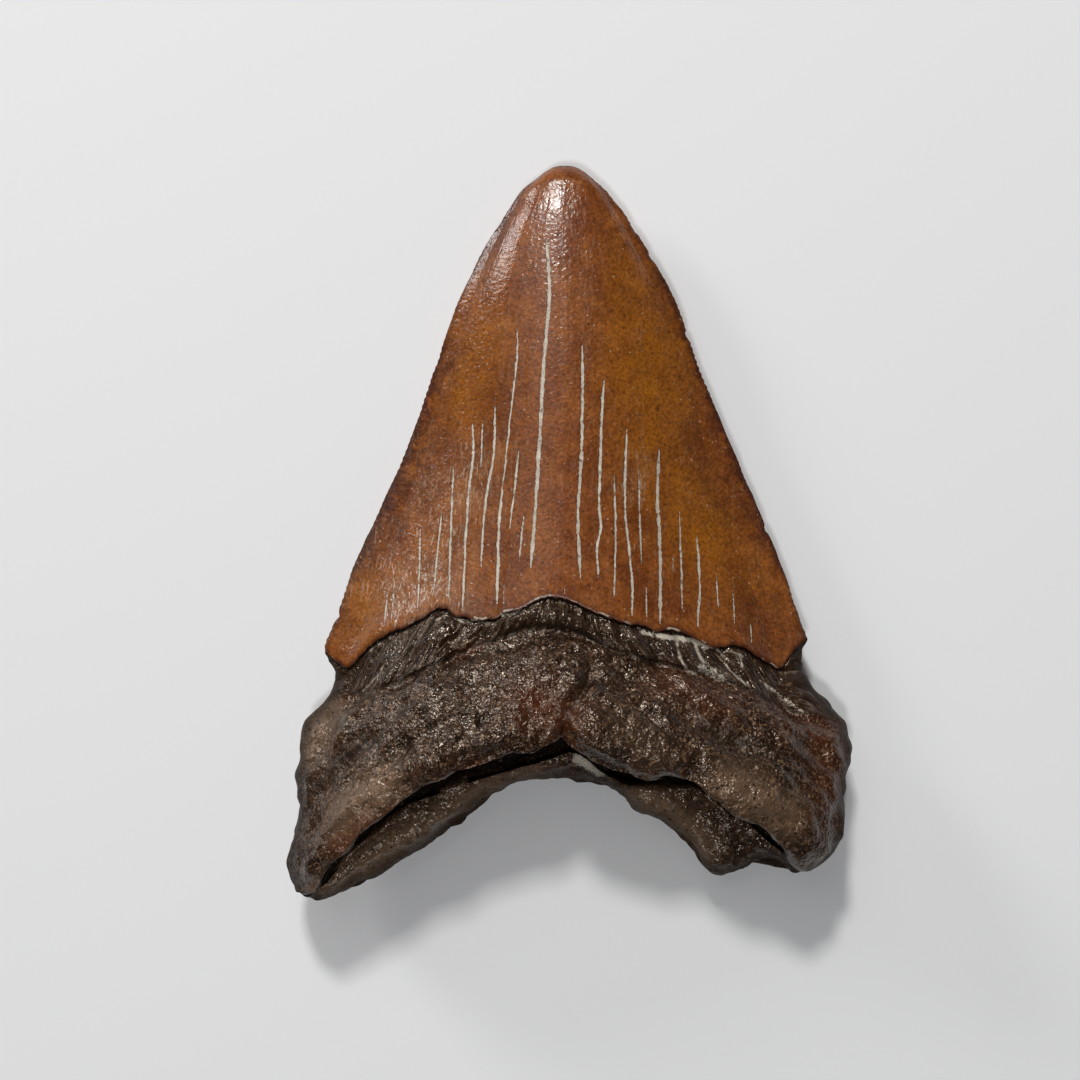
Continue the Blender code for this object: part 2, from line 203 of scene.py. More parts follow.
@dataclass
class Outline:
    """The tooth's silhouette seen from above, and the ribs that cross it from left to right."""

    height: float = 102.0
    left: SmoothCurve = SmoothCurve((
        (-3.6, 50.0), (-6.3, 47.9), (-8.8, 44.5), (-11.3, 40.6), (-14.2, 35.1), (-19.5, 21.0),
        (-22.3, 12.8), (-25.9, 4.4), (-29.8, -4.0), (-32.7, -12.3), (-34.1, -16.8),
        (-32.9, -19.2), (-32.8, -20.9), (-34.3, -23.3), (-36.6, -26.7), (-37.6, -31.5),
        (-37.8, -40.0), (-38.6, -45.0), (-38.2, -48.2), (-37.0, -50.1), (-34.8, -51.0),
    ))
    right: SmoothCurve = SmoothCurve((
        (2.2, 50.0), (4.6, 47.9), (7.0, 45.1), (10.0, 40.6), (13.3, 35.1), (18.8, 21.0),
        (24.3, 7.9), (30.0, -6.1), (32.3, -13.0), (33.0, -14.8), (32.3, -16.5), (32.3, -18.9),
        (33.9, -21.9), (36.0, -24.3), (37.8, -26.3), (38.6, -29.0), (38.2, -34.4), (37.8, -39.9),
        (36.8, -43.8), (34.6, -45.8), (31.2, -47.4),
    ))
    tip: SmoothCurve = SmoothCurve(
        ((-3.6, 50.0), (-2.4, 50.7), (-0.7, 51.0), (1.0, 50.7), (2.2, 50.0))
    )
    border: SmoothCurve = SmoothCurve((
        (-34.1, -16.8), (-32.2, -18.1), (-30.8, -18.9), (-28.5, -16.6), (-26.7, -15.0),
        (-21.9, -12.9), (-16.9, -10.5), (-15.4, -11.7), (-13.0, -11.8), (-6.9, -10.5),
        (-3.1, -8.8), (2.7, -10.7), (10.9, -13.3), (15.0, -13.9), (20.0, -15.8), (22.9, -15.9),
        (26.6, -17.7), (29.0, -18.9), (31.3, -16.2), (33.0, -14.8),
    ))
    labial_border: SmoothCurve = SmoothCurve((
        (-34.1, -16.8), (-31.0, -18.6), (-24.0, -17.4), (-12.0, -15.8), (-2.0, -14.0),
        (9.0, -15.6), (22.0, -17.6), (29.5, -18.4), (33.0, -14.8),
    ))
    lip: SmoothCurve = SmoothCurve((
        (-37.8, -49.0), (-34.3, -48.4), (-32.7, -45.3), (-29.9, -42.8), (-27.3, -39.5),
        (-24.0, -37.2), (-19.4, -33.6), (-12.7, -31.3), (-10.1, -30.6), (-8.6, -29.5),
        (-5.3, -29.7), (-2.4, -28.2), (-1.1, -27.1), (-0.4, -28.2), (1.2, -29.2), (5.3, -31.9),
        (7.8, -32.3), (9.9, -33.1), (12.2, -32.6), (14.2, -32.6), (19.1, -35.6), (23.5, -38.7),
        (26.1, -39.7), (28.8, -42.6), (30.5, -44.9), (34.4, -46.0),
    ))
    crest: SmoothCurve = SmoothCurve((
        (-36.4, -50.4), (-34.0, -48.7), (-30.6, -44.5), (-26.1, -40.9), (-22.4, -37.9),
        (-18.2, -35.9), (-12.9, -34.1), (-7.7, -32.7), (-2.7, -31.3), (-0.3, -30.0),
        (4.7, -33.2), (6.8, -34.6), (14.2, -35.4), (17.4, -35.6), (22.1, -39.0), (26.8, -42.0),
        (29.2, -44.1), (32.8, -46.8),
    ))
    rear: SmoothCurve = SmoothCurve((
        (-34.8, -51.0), (-31.6, -50.0), (-24.9, -46.6), (-18.1, -42.3), (-7.0, -34.8),
        (-3.0, -34.3), (3.5, -35.2), (7.0, -36.3), (9.1, -38.4), (13.3, -40.7), (17.1, -44.2),
        (18.8, -46.8), (20.7, -48.0), (23.4, -47.0), (25.5, -46.1), (28.7, -46.3), (31.2, -47.4),
    ))
    shoulder: Place = (-16.8, -14.8)
    below_enamel: Place = (-17.1, -15.1)
    lip_ends: Place = (-49.0, -46.0)
    groove_ends: Place = (-49.7, -46.4)
    crest_ends: Place = (-50.4, -46.8)
    rear_ends: Place = (-51.0, -47.4)

    def sides(self, share: Array, upper: Place, lower: Place) -> tuple[Array, Array]:
        """Points of the left and right outline between two pairs of heights.

        Args:
            share: How far down each point lies, from 0 at upper to 1 at lower.
            upper: The heights y where the left and the right stretch start.
            lower: The heights y where they end.

        Returns:
            The left and the right points (x, y).
        """
        found = []
        for curve, start, end in zip((self.left, self.right), upper, lower, strict=True):
            y = start + share * (end - start)
            found.append(np.stack([curve.turned().at(y), y], axis=-1))
        return found[0], found[1]


@dataclass
class Thickness:
    """Heights over the resting plane, each as a curve down one zone of the tooth."""

    crown_edge: SmoothCurve = SmoothCurve(((0.0, 6.0), (0.4, 5.6), (0.8, 5.8), (1.0, 6.6)))
    root_edge: SmoothCurve = SmoothCurve(((0.0, 6.6), (0.15, 7.8), (0.5, 9.2), (1.0, 7.2)))
    crown_ridge: SmoothCurve = SmoothCurve(
        ((0.0, 0.0), (0.02, 1.2), (0.07, 2.3), (0.2, 4.2), (0.45, 6.6), (0.75, 8.3), (1.0, 9.3))
    )
    crown_belly: SmoothCurve = SmoothCurve((
        (0.0, 0.0), (0.02, 1.2), (0.07, 2.3), (0.2, 3.8), (0.45, 5.3), (0.6, 6.0), (0.72, 6.1),
        (0.85, 5.8), (1.0, 6.2),
    ))
    face_ridge: SmoothCurve = SmoothCurve(
        ((0.0, 15.4), (0.18, 16.3), (0.5, 19.2), (0.8, 21.4), (0.93, 21.8), (1.0, 20.7))
    )
    plate_ridge: SmoothCurve = SmoothCurve(
        ((0.0, 9.8), (0.3, 9.5), (0.65, 8.4), (0.9, 6.6), (1.0, 5.0))
    )
    labial_ridge: SmoothCurve = SmoothCurve(
        ((0.0, 0.4), (0.25, -0.7), (0.6, -0.9), (0.82, 0.4), (0.96, 2.0), (1.0, 5.0))
    )
    section_power: SmoothCurve = SmoothCurve(
        ((0.0, 2.8), (0.25, 2.6), (0.6, 2.1), (1.0, 2.0), (1.35, 2.6), (2.0, 2.8), (4.0, 2.8))
    )
    section_edge: SmoothCurve = SmoothCurve(
        ((0.0, 1.1), (0.95, 1.1), (1.0, 0.98), (1.35, 0.55), (2.0, 0.5), (4.0, 0.5))
    )
    groove: float = 4.8
    groove_fade: float = 3.5
    undercut: float = 1.8
    enamel: float = 0.5

    def section(self, station: Array, across: Array) -> Array:
        """How full the cross-section is, from 1 in the middle to 0 at the outline.

        Args:
            station: Each row's station, which counts the zones from the tip down.
            across: Each column's place, from -1 at the left outline to 1 at the right.

        Returns:
            Fullness by row and column.
        """
        power = self.section_power.at(station)[:, None]
        edge = self.section_edge.at(station)[:, None]
        return (1.0 - np.abs(across)[None, :] ** power) ** edge


@dataclass
class Relief:
    """Furrows and swellings of the root, and the shapes that the finishes follow."""

    neck_ledge: Path = (
        (-32.1, -22.8), (-27.1, -21.5), (-23.1, -20.1), (-19.0, -18.1), (-15.0, -16.2),
        (-9.6, -14.3), (-6.9, -13.3), (-2.8, -12.8), (1.2, -13.6), (5.6, -15.8), (10.7, -17.4),
        (17.5, -19.0), (24.2, -21.5), (31.0, -24.8),
    )
    face: tuple[Stroke, ...] = (
        Stroke(((-27.0, -18.2), (-17.0, -13.4), (-3.0, -10.8), (10.0, -15.0), (26.0, -19.8)), 1.3, 0.8),
        Stroke(((-27.5, -27.8), (-31.5, -31.6), (-36.0, -36.0)), 1.8, -1.5),
        Stroke(((-1.1, -27.4), (-0.7, -25.3), (0.6, -22.8), (1.9, -20.6), (2.6, -18.5)), 1.0, -1.3),
        Stroke(((2.2, -27.6), (3.6, -24.0)), 2.6, 0.9),
        Stroke(((-4.6, -26.4), (-2.8, -23.0)), 2.4, -0.6),
        Stroke(((15.0, -25.6), (21.5, -28.0), (26.4, -30.4), (31.6, -33.5)), 2.0, -1.3),
        Stroke(((25.7, -21.5), (29.0, -23.2), (32.6, -25.3)), 0.9, 0.7),
        Stroke(((30.0, -20.6), (33.0, -22.6)), 1.7, -1.0),
        Stroke(((-33.6, -45.4), (-26.4, -38.6), (-19.0, -33.0)), 3.2, 1.7),
        Stroke(((-18.0, -30.5), (-12.3, -27.6)), 2.4, 0.6),
        Stroke(((-30.0, -38.0), (-34.0, -44.0)), 4.5, 1.4),
        Stroke(((7.0, -28.5), (12.0, -30.4)), 2.4, 0.8),
        Stroke(((17.6, -34.6), (24.0, -38.2), (30.6, -43.6)), 3.0, 1.7),
        Stroke(((27.5, -35.0), (32.5, -41.0)), 4.5, 2.0),
    )
    plate: tuple[Stroke, ...] = (
        Stroke(((-22.5, -43.6), (-17.5, -39.4), (-8.2, -35.4)), 1.0, 0.7),
        Stroke(
            (
                (7.2, -35.7), (9.6, -38.0), (13.3, -39.7), (15.9, -41.3), (17.5, -44.2),
                (20.4, -46.4),
            ),
            1.0,
            0.9,
        ),
        Stroke(((18.6, -39.6), (23.0, -42.6)), 2.6, -0.9),
    )
    labial: tuple[Stroke, ...] = (
        Stroke(((-8.0, -33.0), (0.0, -30.5), (8.0, -33.5)), 3.0, 1.0),
        Stroke(((-26.0, -19.8), (-12.0, -18.2), (-2.0, -16.6), (9.0, -18.2), (24.0, -20.2)), 1.0, 0.6),
    )
    ledge_reach: float = 0.5
    ledge_drop: float = 1.2


@dataclass
class Skin:
    """One sheet of points, by row and column, and the rows where its zones start."""

    points: Array
    crown_rows: int

    @property
    def plan(self) -> Array:
        """The points' places (x, y)."""
        return self.points[..., :2]

    def normals(self) -> Array:
        """Unit normal of the sheet at each point."""
        down = np.gradient(self.points, axis=0)
        over = np.gradient(self.points, axis=1)
        normal = np.cross(down, over)
        return normal / np.maximum(np.linalg.norm(normal, axis=-1, keepdims=True), 1e-9)


@dataclass
class ToothForm:
    """The tooth's two sheets, shaped from the outline, the thickness and the relief."""

    outline: Outline = field(default_factory=Outline)
    thickness: Thickness = field(default_factory=Thickness)
    relief: Relief = field(default_factory=Relief)
    columns: int = 240
    crown_rows: int = 148
    step_rows: int = 2
    face_rows: int = 66
    wall_rows: int = 14
    rise_rows: int = 8
    plate_rows: int = 30
    face_spread: SmoothCurve = SmoothCurve(((0.0, 0.0), (0.6, 0.7), (0.85, 0.94), (1.0, 1.0)))
    plate_spread: SmoothCurve = SmoothCurve(((0.0, 0.0), (0.5, 0.56), (0.85, 0.92), (1.0, 1.0)))
    labial_spread: SmoothCurve = SmoothCurve(((0.0, 0.0), (0.5, 0.62), (0.85, 0.95), (1.0, 1.0)))
    rise_shape: SmoothCurve = SmoothCurve(((0.0, 0.0), (0.5, 0.2), (0.8, 0.5), (1.0, 1.0)))
    notch_depth: float = 0.16
    border_fray: float = 0.5
    border_steps: tuple[Grain, ...] = (Grain(1.0, 2.3, 4.4), Grain(0.6, 0.9, 7.7))

    @property
    def root_rows(self) -> int:
        """How many rows the root has below the enamel step."""
        return self.face_rows + self.wall_rows + self.rise_rows + self.plate_rows

    @staticmethod
    def shares(rows: int, first: bool = False) -> Array:
        """Evenly spaced shares of a zone, with its first row only where asked."""
        return np.linspace(0.0, 1.0, rows + 1)[0 if first else 1 :]

    @staticmethod
    def zone(
        upper: Array,
        lower: Array,
        sides: tuple[Array, Array],
        spread: Array,
        fade: float,
    ) -> Array:
        """Places of a zone's rows and columns between two ribs and two stretches of outline.

        Args:
            upper: The rib above, as points (x, y).
            lower: The rib below.
            sides: The rows' ends on the left and the right outline.
            spread: How far each row lies from the upper rib to the lower one.
            fade: How fast the pull of the outline dies off towards the middle.

        Returns:
            Places (x, y) by row and column.
        """
        down = spread[:, None, None]
        plan = (1 - down) * upper[None] + down * lower[None]
        across = np.linspace(0.0, 1.0, upper.shape[0])[None, :, None]
        plan = plan + (1 - across) ** fade * (sides[0][:, None] - plan[:, :1])
        return plan + across**fade * (sides[1][:, None] - plan[:, -1:])

    def lingual(self) -> Skin:
        """The upper sheet, from the tip to the rear edge."""
        line, deep = self.outline, self.thickness
        across = np.linspace(-1.0, 1.0, self.columns + 1)
        border = self.frayed(line.border.rib(self.columns))
        below = border + (0.0, line.below_enamel[0] - line.shoulder[0])
        lip = line.lip.rib(self.columns)
        groove = lip + np.outer(1 - across**4, (0.0, deep.undercut))
        crest = line.crest.rib(self.columns)
        edges = deep.root_edge.at(self.shares(self.root_rows))
        parts = [self.crown(line.tip.rib(self.columns), border, deep.crown_ridge, across)]

        share = self.shares(self.step_rows)
        sides = line.sides(share, line.shoulder, line.below_enamel)
        plan = self.zone(border, below, sides, share, 8)
        drop = deep.enamel * share[:, None] * (1 - across**8)
        parts.append(self.raised(plan, parts[-1][-1:, :, 2] - drop))

        share = self.shares(self.face_rows)
        spread = self.face_spread.at(share)
        sides = line.sides(share, line.below_enamel, line.lip_ends)
        plan = self.zone(below, lip, sides, spread, 3)
        section = deep.section(1 + share, across)
        edge = edges[: self.face_rows, None]
        past, reach = self.ledge_depth(plan), self.relief.ledge_reach
        ledge = self.relief.ledge_drop * np.exp(-np.maximum(past, 0) / (4 * reach))
        ledge *= smoothstep(-reach, reach, past)
        carved = (total(self.relief.face, plan) - ledge) * section
        height = edge + (deep.face_ridge.at(spread)[:, None] - edge) * section + carved
        parts.append(self.raised(plan, height))

        share = self.shares(self.wall_rows)
        sides = line.sides(share, line.lip_ends, line.groove_ends)
        plan = self.zone(lip, groove, sides, share, 8)
        section = deep.section(2 + share, across)
        edge = edges[self.face_rows : self.face_rows + self.wall_rows, None]
        top = edge + parts[-1][-1:, :, 2] - edges[self.face_rows - 1]
        bottom = edge + (deep.groove + deep.groove_fade * across**4 - edge) * section
        parts.append(self.raised(plan, top + (bottom - top) * share[:, None]))

        share = self.shares(self.rise_rows)
        sides = line.sides(share, line.groove_ends, line.crest_ends)
        plan = self.zone(groove, crest, sides, share, 8)
        section = deep.section(2 + share, across)
        edge = edges[self.face_rows + self.wall_rows : -self.plate_rows, None]
        top = edge + (deep.plate_ridge.points[0][1] - edge) * section
        bottom = parts[-1][-1:, :, 2]
        rise = self.rise_shape.at(share)[:, None]
        parts.append(self.raised(plan, bottom + (top - bottom) * rise))

        share = self.shares(self.plate_rows)
        spread = self.plate_spread.at(share)
        sides = line.sides(share, line.crest_ends, line.rear_ends)
        plan = self.zone(crest, line.rear.rib(self.columns), sides, spread, 8)
        section = deep.section(2 + share, across)
        edge = edges[-self.plate_rows :, None]
        carved = total(self.relief.plate, plan) * section * (1 - share[:, None] ** 4)
        height = edge + (deep.plate_ridge.at(spread)[:, None] - edge) * section + carved
        parts.append(self.raised(plan, height))
        return Skin(np.concatenate(parts), self.crown_rows)

    def frayed(self, border: Array) -> Array:
        """The enamel's border with the small steps of its broken edge, but with its ends kept."""
        place = np.stack([border[:, 0], 0 * border[:, 0], 0 * border[:, 0]], axis=-1)
        steps = self.border_fray * layers(self.border_steps, place)
        share = np.linspace(-1.0, 1.0, len(border))
        return border + np.outer(steps * (1 - share**8), (0.0, 1.0))

    def labial(self, upper: Skin) -> Skin:
        """The under sheet, with half the columns, whose ends follow the upper sheet's."""
        line, deep = self.outline, self.thickness
        half = self.columns // 2
        across = np.linspace(-1.0, 1.0, half + 1)
        border = self.frayed(line.labial_border.rib(half))
        belly = SmoothCurve(tuple((place, -fall) for place, fall in deep.crown_belly.points))
        parts = [self.crown(line.tip.rib(half), border, belly, across)]

        count = self.step_rows + self.root_rows
        share = self.shares(count)
        spread = self.labial_spread.at(share)
        sides = (upper.plan[-count:, 0], upper.plan[-count:, -1])
        plan = self.zone(border, line.rear.rib(half), sides, spread, 3)
        edge = upper.points[-count:, :1, 2]
        section = deep.section(1 + share, across)
        carved = total(self.relief.labial, plan) * section * (1 - share[:, None] ** 4)
        height = edge + (deep.labial_ridge.at(spread)[:, None] - edge) * section + carved
        parts.append(self.raised(plan, height))
        return Skin(np.concatenate(parts), self.crown_rows)

    def crown(
        self, tip: Array, border: Array, rise: SmoothCurve, across: Array
    ) -> Array:
        """Points of the crown on one side.

        Args:
            tip: The tip's rib.
            border: The enamel's end on this side.
            rise: Height over the cutting edge along the middle.
            across: Each column's place from -1 to 1.

        Returns:
            Points by row and column.
        """
        share = self.shares(self.crown_rows, first=True)
        ends = self.outline.sides(share, (50.0, 50.0), self.outline.shoulder)
        plan = self.zone(tip, border, ends, share, 2)
        edge = self.thickness.crown_edge.at(share)[:, None]
        height = edge + rise.at(share)[:, None] * self.thickness.section(share, across)
        return self.raised(plan, height)

    def ledge_depth(self, plan: Array) -> Array:
        """How far below the neck band's ledge each place lies."""
        return SmoothCurve(self.relief.neck_ledge).at(plan[..., 0]) - plan[..., 1]

    @staticmethod
    def raised(plan: Array, height: Array) -> Array:
        """The plan's places with their heights, as points."""
        return np.concatenate([plan, height[..., None]], axis=-1)


@dataclass
class Cracks:
    """Mineral-filled cracks that run down the enamel, which never cross each other.

    They are stored as one number that rises from left to right, is a whole number and a half
    on each crack, and grows by 1 in a spread's width beside it. A crack's line stays sharp that
    way, however thin it is beside the skin's mesh.
    """

    cracks: tuple[Crack, ...] = (
        Crack(((-25.2, -8.3), (-25.6, -13.2)), 0.22),
        Crack(((-24.2, -6.6), (-24.6, -12.1)), 0.19),
        Crack(((-20.6, 0.6), (-20.9, -10.9)), 0.21),
        Crack(((-17.7, 2.8), (-18.7, -8.7)), 0.22),
        Crack(((-16.1, 9.5), (-16.6, -9.4)), 0.26),
        Crack(((-13.5, 15.2), (-13.3, 12.6), (-14.0, 4.6), (-14.7, -10.9)), 0.29),
        Crack(((-12.0, 15.2), (-12.3, 8.7)), 0.19),
        Crack(((-10.3, 17.3), (-10.7, 9.1), (-11.4, 5.5), (-12.2, -5.1)), 0.29),
        Crack(
            ((-7.3, 27.9), (-7.2, 25.5), (-7.9, 18.0), (-9.0, 7.7), (-9.6, 2.4), (-10.0, -10.1)), 0.36
        ),
        Crack(((-9.0, -6.9), (-9.1, -10.1)), 0.18),
        Crack(((-7.0, 11.3), (-7.6, 5.9), (-8.3, 0.2)), 0.24),
        Crack(((-6.4, 2.4), (-7.0, -4.3)), 0.26),
        Crack(
            ((-3.3, 40.2), (-2.9, 33.2), (-3.5, 24.9), (-3.9, 18.0), (-4.7, 4.6), (-5.4, -5.1)), 0.46
        ),
        Crack(((-0.8, -7.3), (-0.9, -9.5)), 0.18),
        Crack(((1.6, 25.5), (1.6, 18.0), (1.3, 7.3), (1.0, 3.5), (1.3, -6.5)), 0.38),
        Crack(((4.6, 21.0), (4.0, 9.1), (3.9, 3.3), (4.0, -0.2), (3.7, -1.2), (3.7, -6.5)), 0.34),
        Crack(((5.9, 7.7), (6.1, -0.2), (5.8, -9.0)), 0.24),
        Crack(((7.7, 14.1), (7.4, 3.3), (8.3, -6.9), (8.3, -11.6)), 0.31),
        Crack(((9.3, 8.4), (9.4, 3.3), (9.6, -4.7)), 0.22),
        Crack(((10.2, -7.3), (10.3, -12.2)), 0.19),
        Crack(((12.2, 11.3), (11.9, 4.6), (12.2, -2.0), (12.1, -12.7)), 0.43),
        Crack(((14.0, -3.4), (14.0, -5.6)), 0.18),
        Crack(((15.0, 2.9), (15.2, -10.7)), 0.26),
        Crack(((17.4, -0.5), (17.7, -6.9), (17.3, -13.3)), 0.31),
        Crack(((20.1, -6.1), (20.2, -10.5)), 0.21),
        Crack(((22.4, -8.0), (22.5, -13.0)), 0.18),
        Crack(((24.8, -12.6), (24.9, -15.6)), 0.24),
    )
    spread: float = 2.0
    lean: float = 0.045
    least_gap: float = 0.25
    taper: float = 3.0
    no_crack: float = -0.2
    samples: int = 700
    wobble: tuple[Grain, ...] = (Grain(0.08, 3.1), Grain(0.04, 1.1))

    def line(self, crack: Crack, number: int, y: Array) -> Array:
        """Where a crack runs at each height, past its ends too.

        Args:
            crack: The crack.
            number: Its place among the cracks, which seeds its wobble.
            y: Heights.

        Returns:
            The crack's x at each height.
        """
        top, bottom = crack.path[0][1], crack.path[-1][1]
        past = np.maximum(y - top, 0) - np.maximum(bottom - y, 0)
        steps = np.stack([y, np.full_like(y, number * 7.3), 0 * y], axis=-1)
        middle = SmoothCurve(crack.path).turned().at(y)
        return middle + self.lean * past * (y < 0) + layers(self.wobble, steps)

    def marks(self, plan: Array) -> dict[Mark, Array]:
        """The numbers by which the enamel's finish draws the cracks.

        Args:
            plan: Places (x, y) of the skin's points, by row and column.

        Returns:
            Place among the cracks, and half width of the nearest crack, at each point.
        """
        heights = np.linspace(plan[..., 1].min(), plan[..., 1].max(), self.samples)
        lines = np.stack([self.line(crack, n, heights) for n, crack in enumerate(self.cracks)])
        for left, right in zip(lines[:-1], lines[1:], strict=True):
            np.maximum(right, left + self.least_gap, out=right)
        x, y = plan.reshape(-1, 2).T
        beside = x - np.stack([np.interp(y, heights, line) for line in lines])
        nearest = np.abs(beside).argmin(axis=0)
        offset = beside[nearest, np.arange(len(x))] / self.spread
        place = nearest + 0.5 + np.clip(offset, -0.49, 0.49)
        sizes = [(crack.path[0][1], crack.path[-1][1], crack.width) for crack in self.cracks]
        tops, bottoms, widths = np.array(sizes)[nearest].T
        inside = np.minimum(tops - y, y - bottoms)
        tapered = widths / 2 * np.sqrt(np.clip(inside / self.taper, 0, 1))
        half = np.where(inside > 0, tapered, self.no_crack)
        shape = plan.shape[:-1]
        return {Mark.CRACK_PLACE: place.reshape(shape), Mark.CRACK_HALF: half.reshape(shape)}


@dataclass
class Tints:
    """Where the finishes change over the skin, as strokes of colour."""

    gold: tuple[Stroke, ...] = (
        Stroke(((14.0, 26.0), (11.0, 14.0), (17.0, 2.0)), 5.5, 0.9),
        Stroke(((-12.0, 27.0), (-14.5, 18.0)), 4.0, 0.75),
        Stroke(((20.0, -2.0), (24.0, -8.0)), 4.0, 0.6),
        Stroke(((-29.0, -8.0), (-28.0, -15.0)), 3.4, 0.9),
        Stroke(((8.0, 36.0), (7.0, 22.0)), 4.0, 0.6),
    )
    blush: tuple[Stroke, ...] = (
        Stroke(((-2.5, 44.0), (-2.0, 20.0), (-1.0, -8.0)), 5.5, 0.85),
        Stroke(((-20.0, 2.0), (-24.0, -9.0)), 4.0, 0.5),
    )
    dusk: tuple[Stroke, ...] = (
        Stroke(((-17.5, 24.0), (-22.0, 12.5), (-26.0, 4.0), (-29.5, -3.5)), 2.8, 1.0),
        Stroke(((-20.0, 10.0), (-23.0, 2.0)), 3.0, 0.5),
        Stroke(((-8.0, 46.0), (-13.0, 37.0)), 1.8, 0.7),
        Stroke(((13.0, 36.0), (19.0, 21.0), (24.0, 8.0), (29.0, -4.0)), 2.0, 0.9),
        Stroke(((17.0, 12.0), (21.0, 3.0)), 3.4, 0.5),
        Stroke(((25.0, -9.0), (30.0, -16.0)), 4.0, 0.6),
        Stroke(((-9.0, 20.0), (-13.0, 12.0)), 2.6, 0.35),
        Stroke(((-31.0, -12.0), (-28.5, -17.0)), 3.0, 0.3),
    )
    # scuffed patches of the crown, partly real wear and partly a painted sheen on the lower left
    scuff_and_sheen: tuple[Stroke, ...] = (
        Stroke(((-13.0, 8.0), (-19.0, -3.0), (-22.0, -10.0)), 4.6, 1.0),
        Stroke(((-21.0, -8.0), (-16.0, -11.0)), 3.0, 0.9),
        Stroke(((-24.6, -5.0), (-22.6, -12.5)), 2.0, 0.6),
        Stroke(((-26.6, 0.0), (-29.8, -8.0)), 2.2, 0.5),
        Stroke(((10.0, 9.0), (8.5, 6.0)), 1.6, 0.8),
    )
    rust: tuple[Stroke, ...] = (
        Stroke(((-15.0, -16.0), (-12.6, -15.0)), 1.0, 1.0),
        Stroke(((-32.4, -21.5), (-31.8, -22.6)), 1.3, 0.8),
        Stroke(((-5.0, -23.0), (-1.8, -24.6)), 3.6, 0.7),
        Stroke(((-27.0, -38.8), (-31.0, -42.0)), 1.6, 0.6),
        Stroke(((28.0, -20.4), (34.0, -27.0), (36.0, -36.0)), 3.4, 0.4),
        Stroke(((14.0, -20.0), (20.0, -23.0)), 3.0, 0.4),
        Stroke(((-30.0, -42.2), (-24.0, -36.8), (-12.0, -30.8)), 0.6, 0.7),
    )
    # pale: painted light that lightens the plates and the lobes of the root where light falls on them
    pale: tuple[Stroke, ...] = (
        Stroke(((-33.0, -49.0), (-22.5, -42.2), (-12.0, -35.9), (-5.0, -33.4)), 2.0, 1.7),
        Stroke(((9.0, -36.5), (14.0, -39.0), (18.0, -43.5)), 2.4, 1.8),
        Stroke(((-30.4, -38.0), (-25.0, -33.6)), 2.8, 1.25),
        Stroke(((21.0, -33.6), (28.6, -38.0)), 2.8, 1.2),
        Stroke(((-33.0, -24.6), (-35.4, -30.0)), 2.2, 0.9),
        Stroke(((7.6, -26.0), (11.6, -30.0)), 2.4, 0.3),
    )
    crust: tuple[Stroke, ...] = (
        Stroke(((1.0, -31.2), (4.2, -33.0)), 0.9, 1.4),
        Stroke(((17.8, -18.5), (20.6, -19.8)), 0.9, 0.75),
        Stroke(((9.8, -13.7), (13.4, -14.5), (16.4, -14.8), (18.6, -15.9)), 0.4, 0.8),
        Stroke(((26.6, -21.0), (31.6, -24.6)), 0.6, 0.55),
        Stroke(((-8.4, -11.4), (-4.0, -9.6)), 0.3, 0.5),
    )
    veins: tuple[tuple[Path, float], ...] = (
        (((14.4, -15.0), (14.7, -17.0), (15.9, -19.0), (17.0, -19.3)), 0.14),
        (((16.9, -15.2), (17.5, -17.0), (18.5, -18.3), (20.6, -20.1)), 0.18),
        (((20.1, -16.0), (21.6, -18.9), (23.7, -20.7), (25.3, -22.2)), 0.1),
        (((26.0, -20.4), (28.9, -22.7), (32.0, -24.8)), 0.12),
        (((9.8, -13.6), (13.4, -14.4), (16.0, -14.6), (17.5, -15.2)), 0.3),
        (((17.5, -15.1), (20.1, -16.3), (21.9, -16.3), (25.3, -17.7)), 0.12),
        (((-18.5, -12.0), (-16.6, -11.2), (-14.6, -12.3), (-11.2, -11.6), (-7.6, -11.1)), 0.14),
        (((-29.0, -17.6), (-26.0, -15.2), (-22.5, -13.6)), 0.1),
        (((23.3, -17.2), (23.4, -18.6)), 0.1),
        (((12.0, -15.2), (12.4, -16.4)), 0.14),
        (((-25.2, -17.4), (-26.0, -19.4), (-28.6, -22.0)), 0.04),
        (((-22.0, -16.4), (-23.4, -19.0)), 0.04),
        (((28.2, -20.0), (30.4, -22.2)), 0.02),
    )


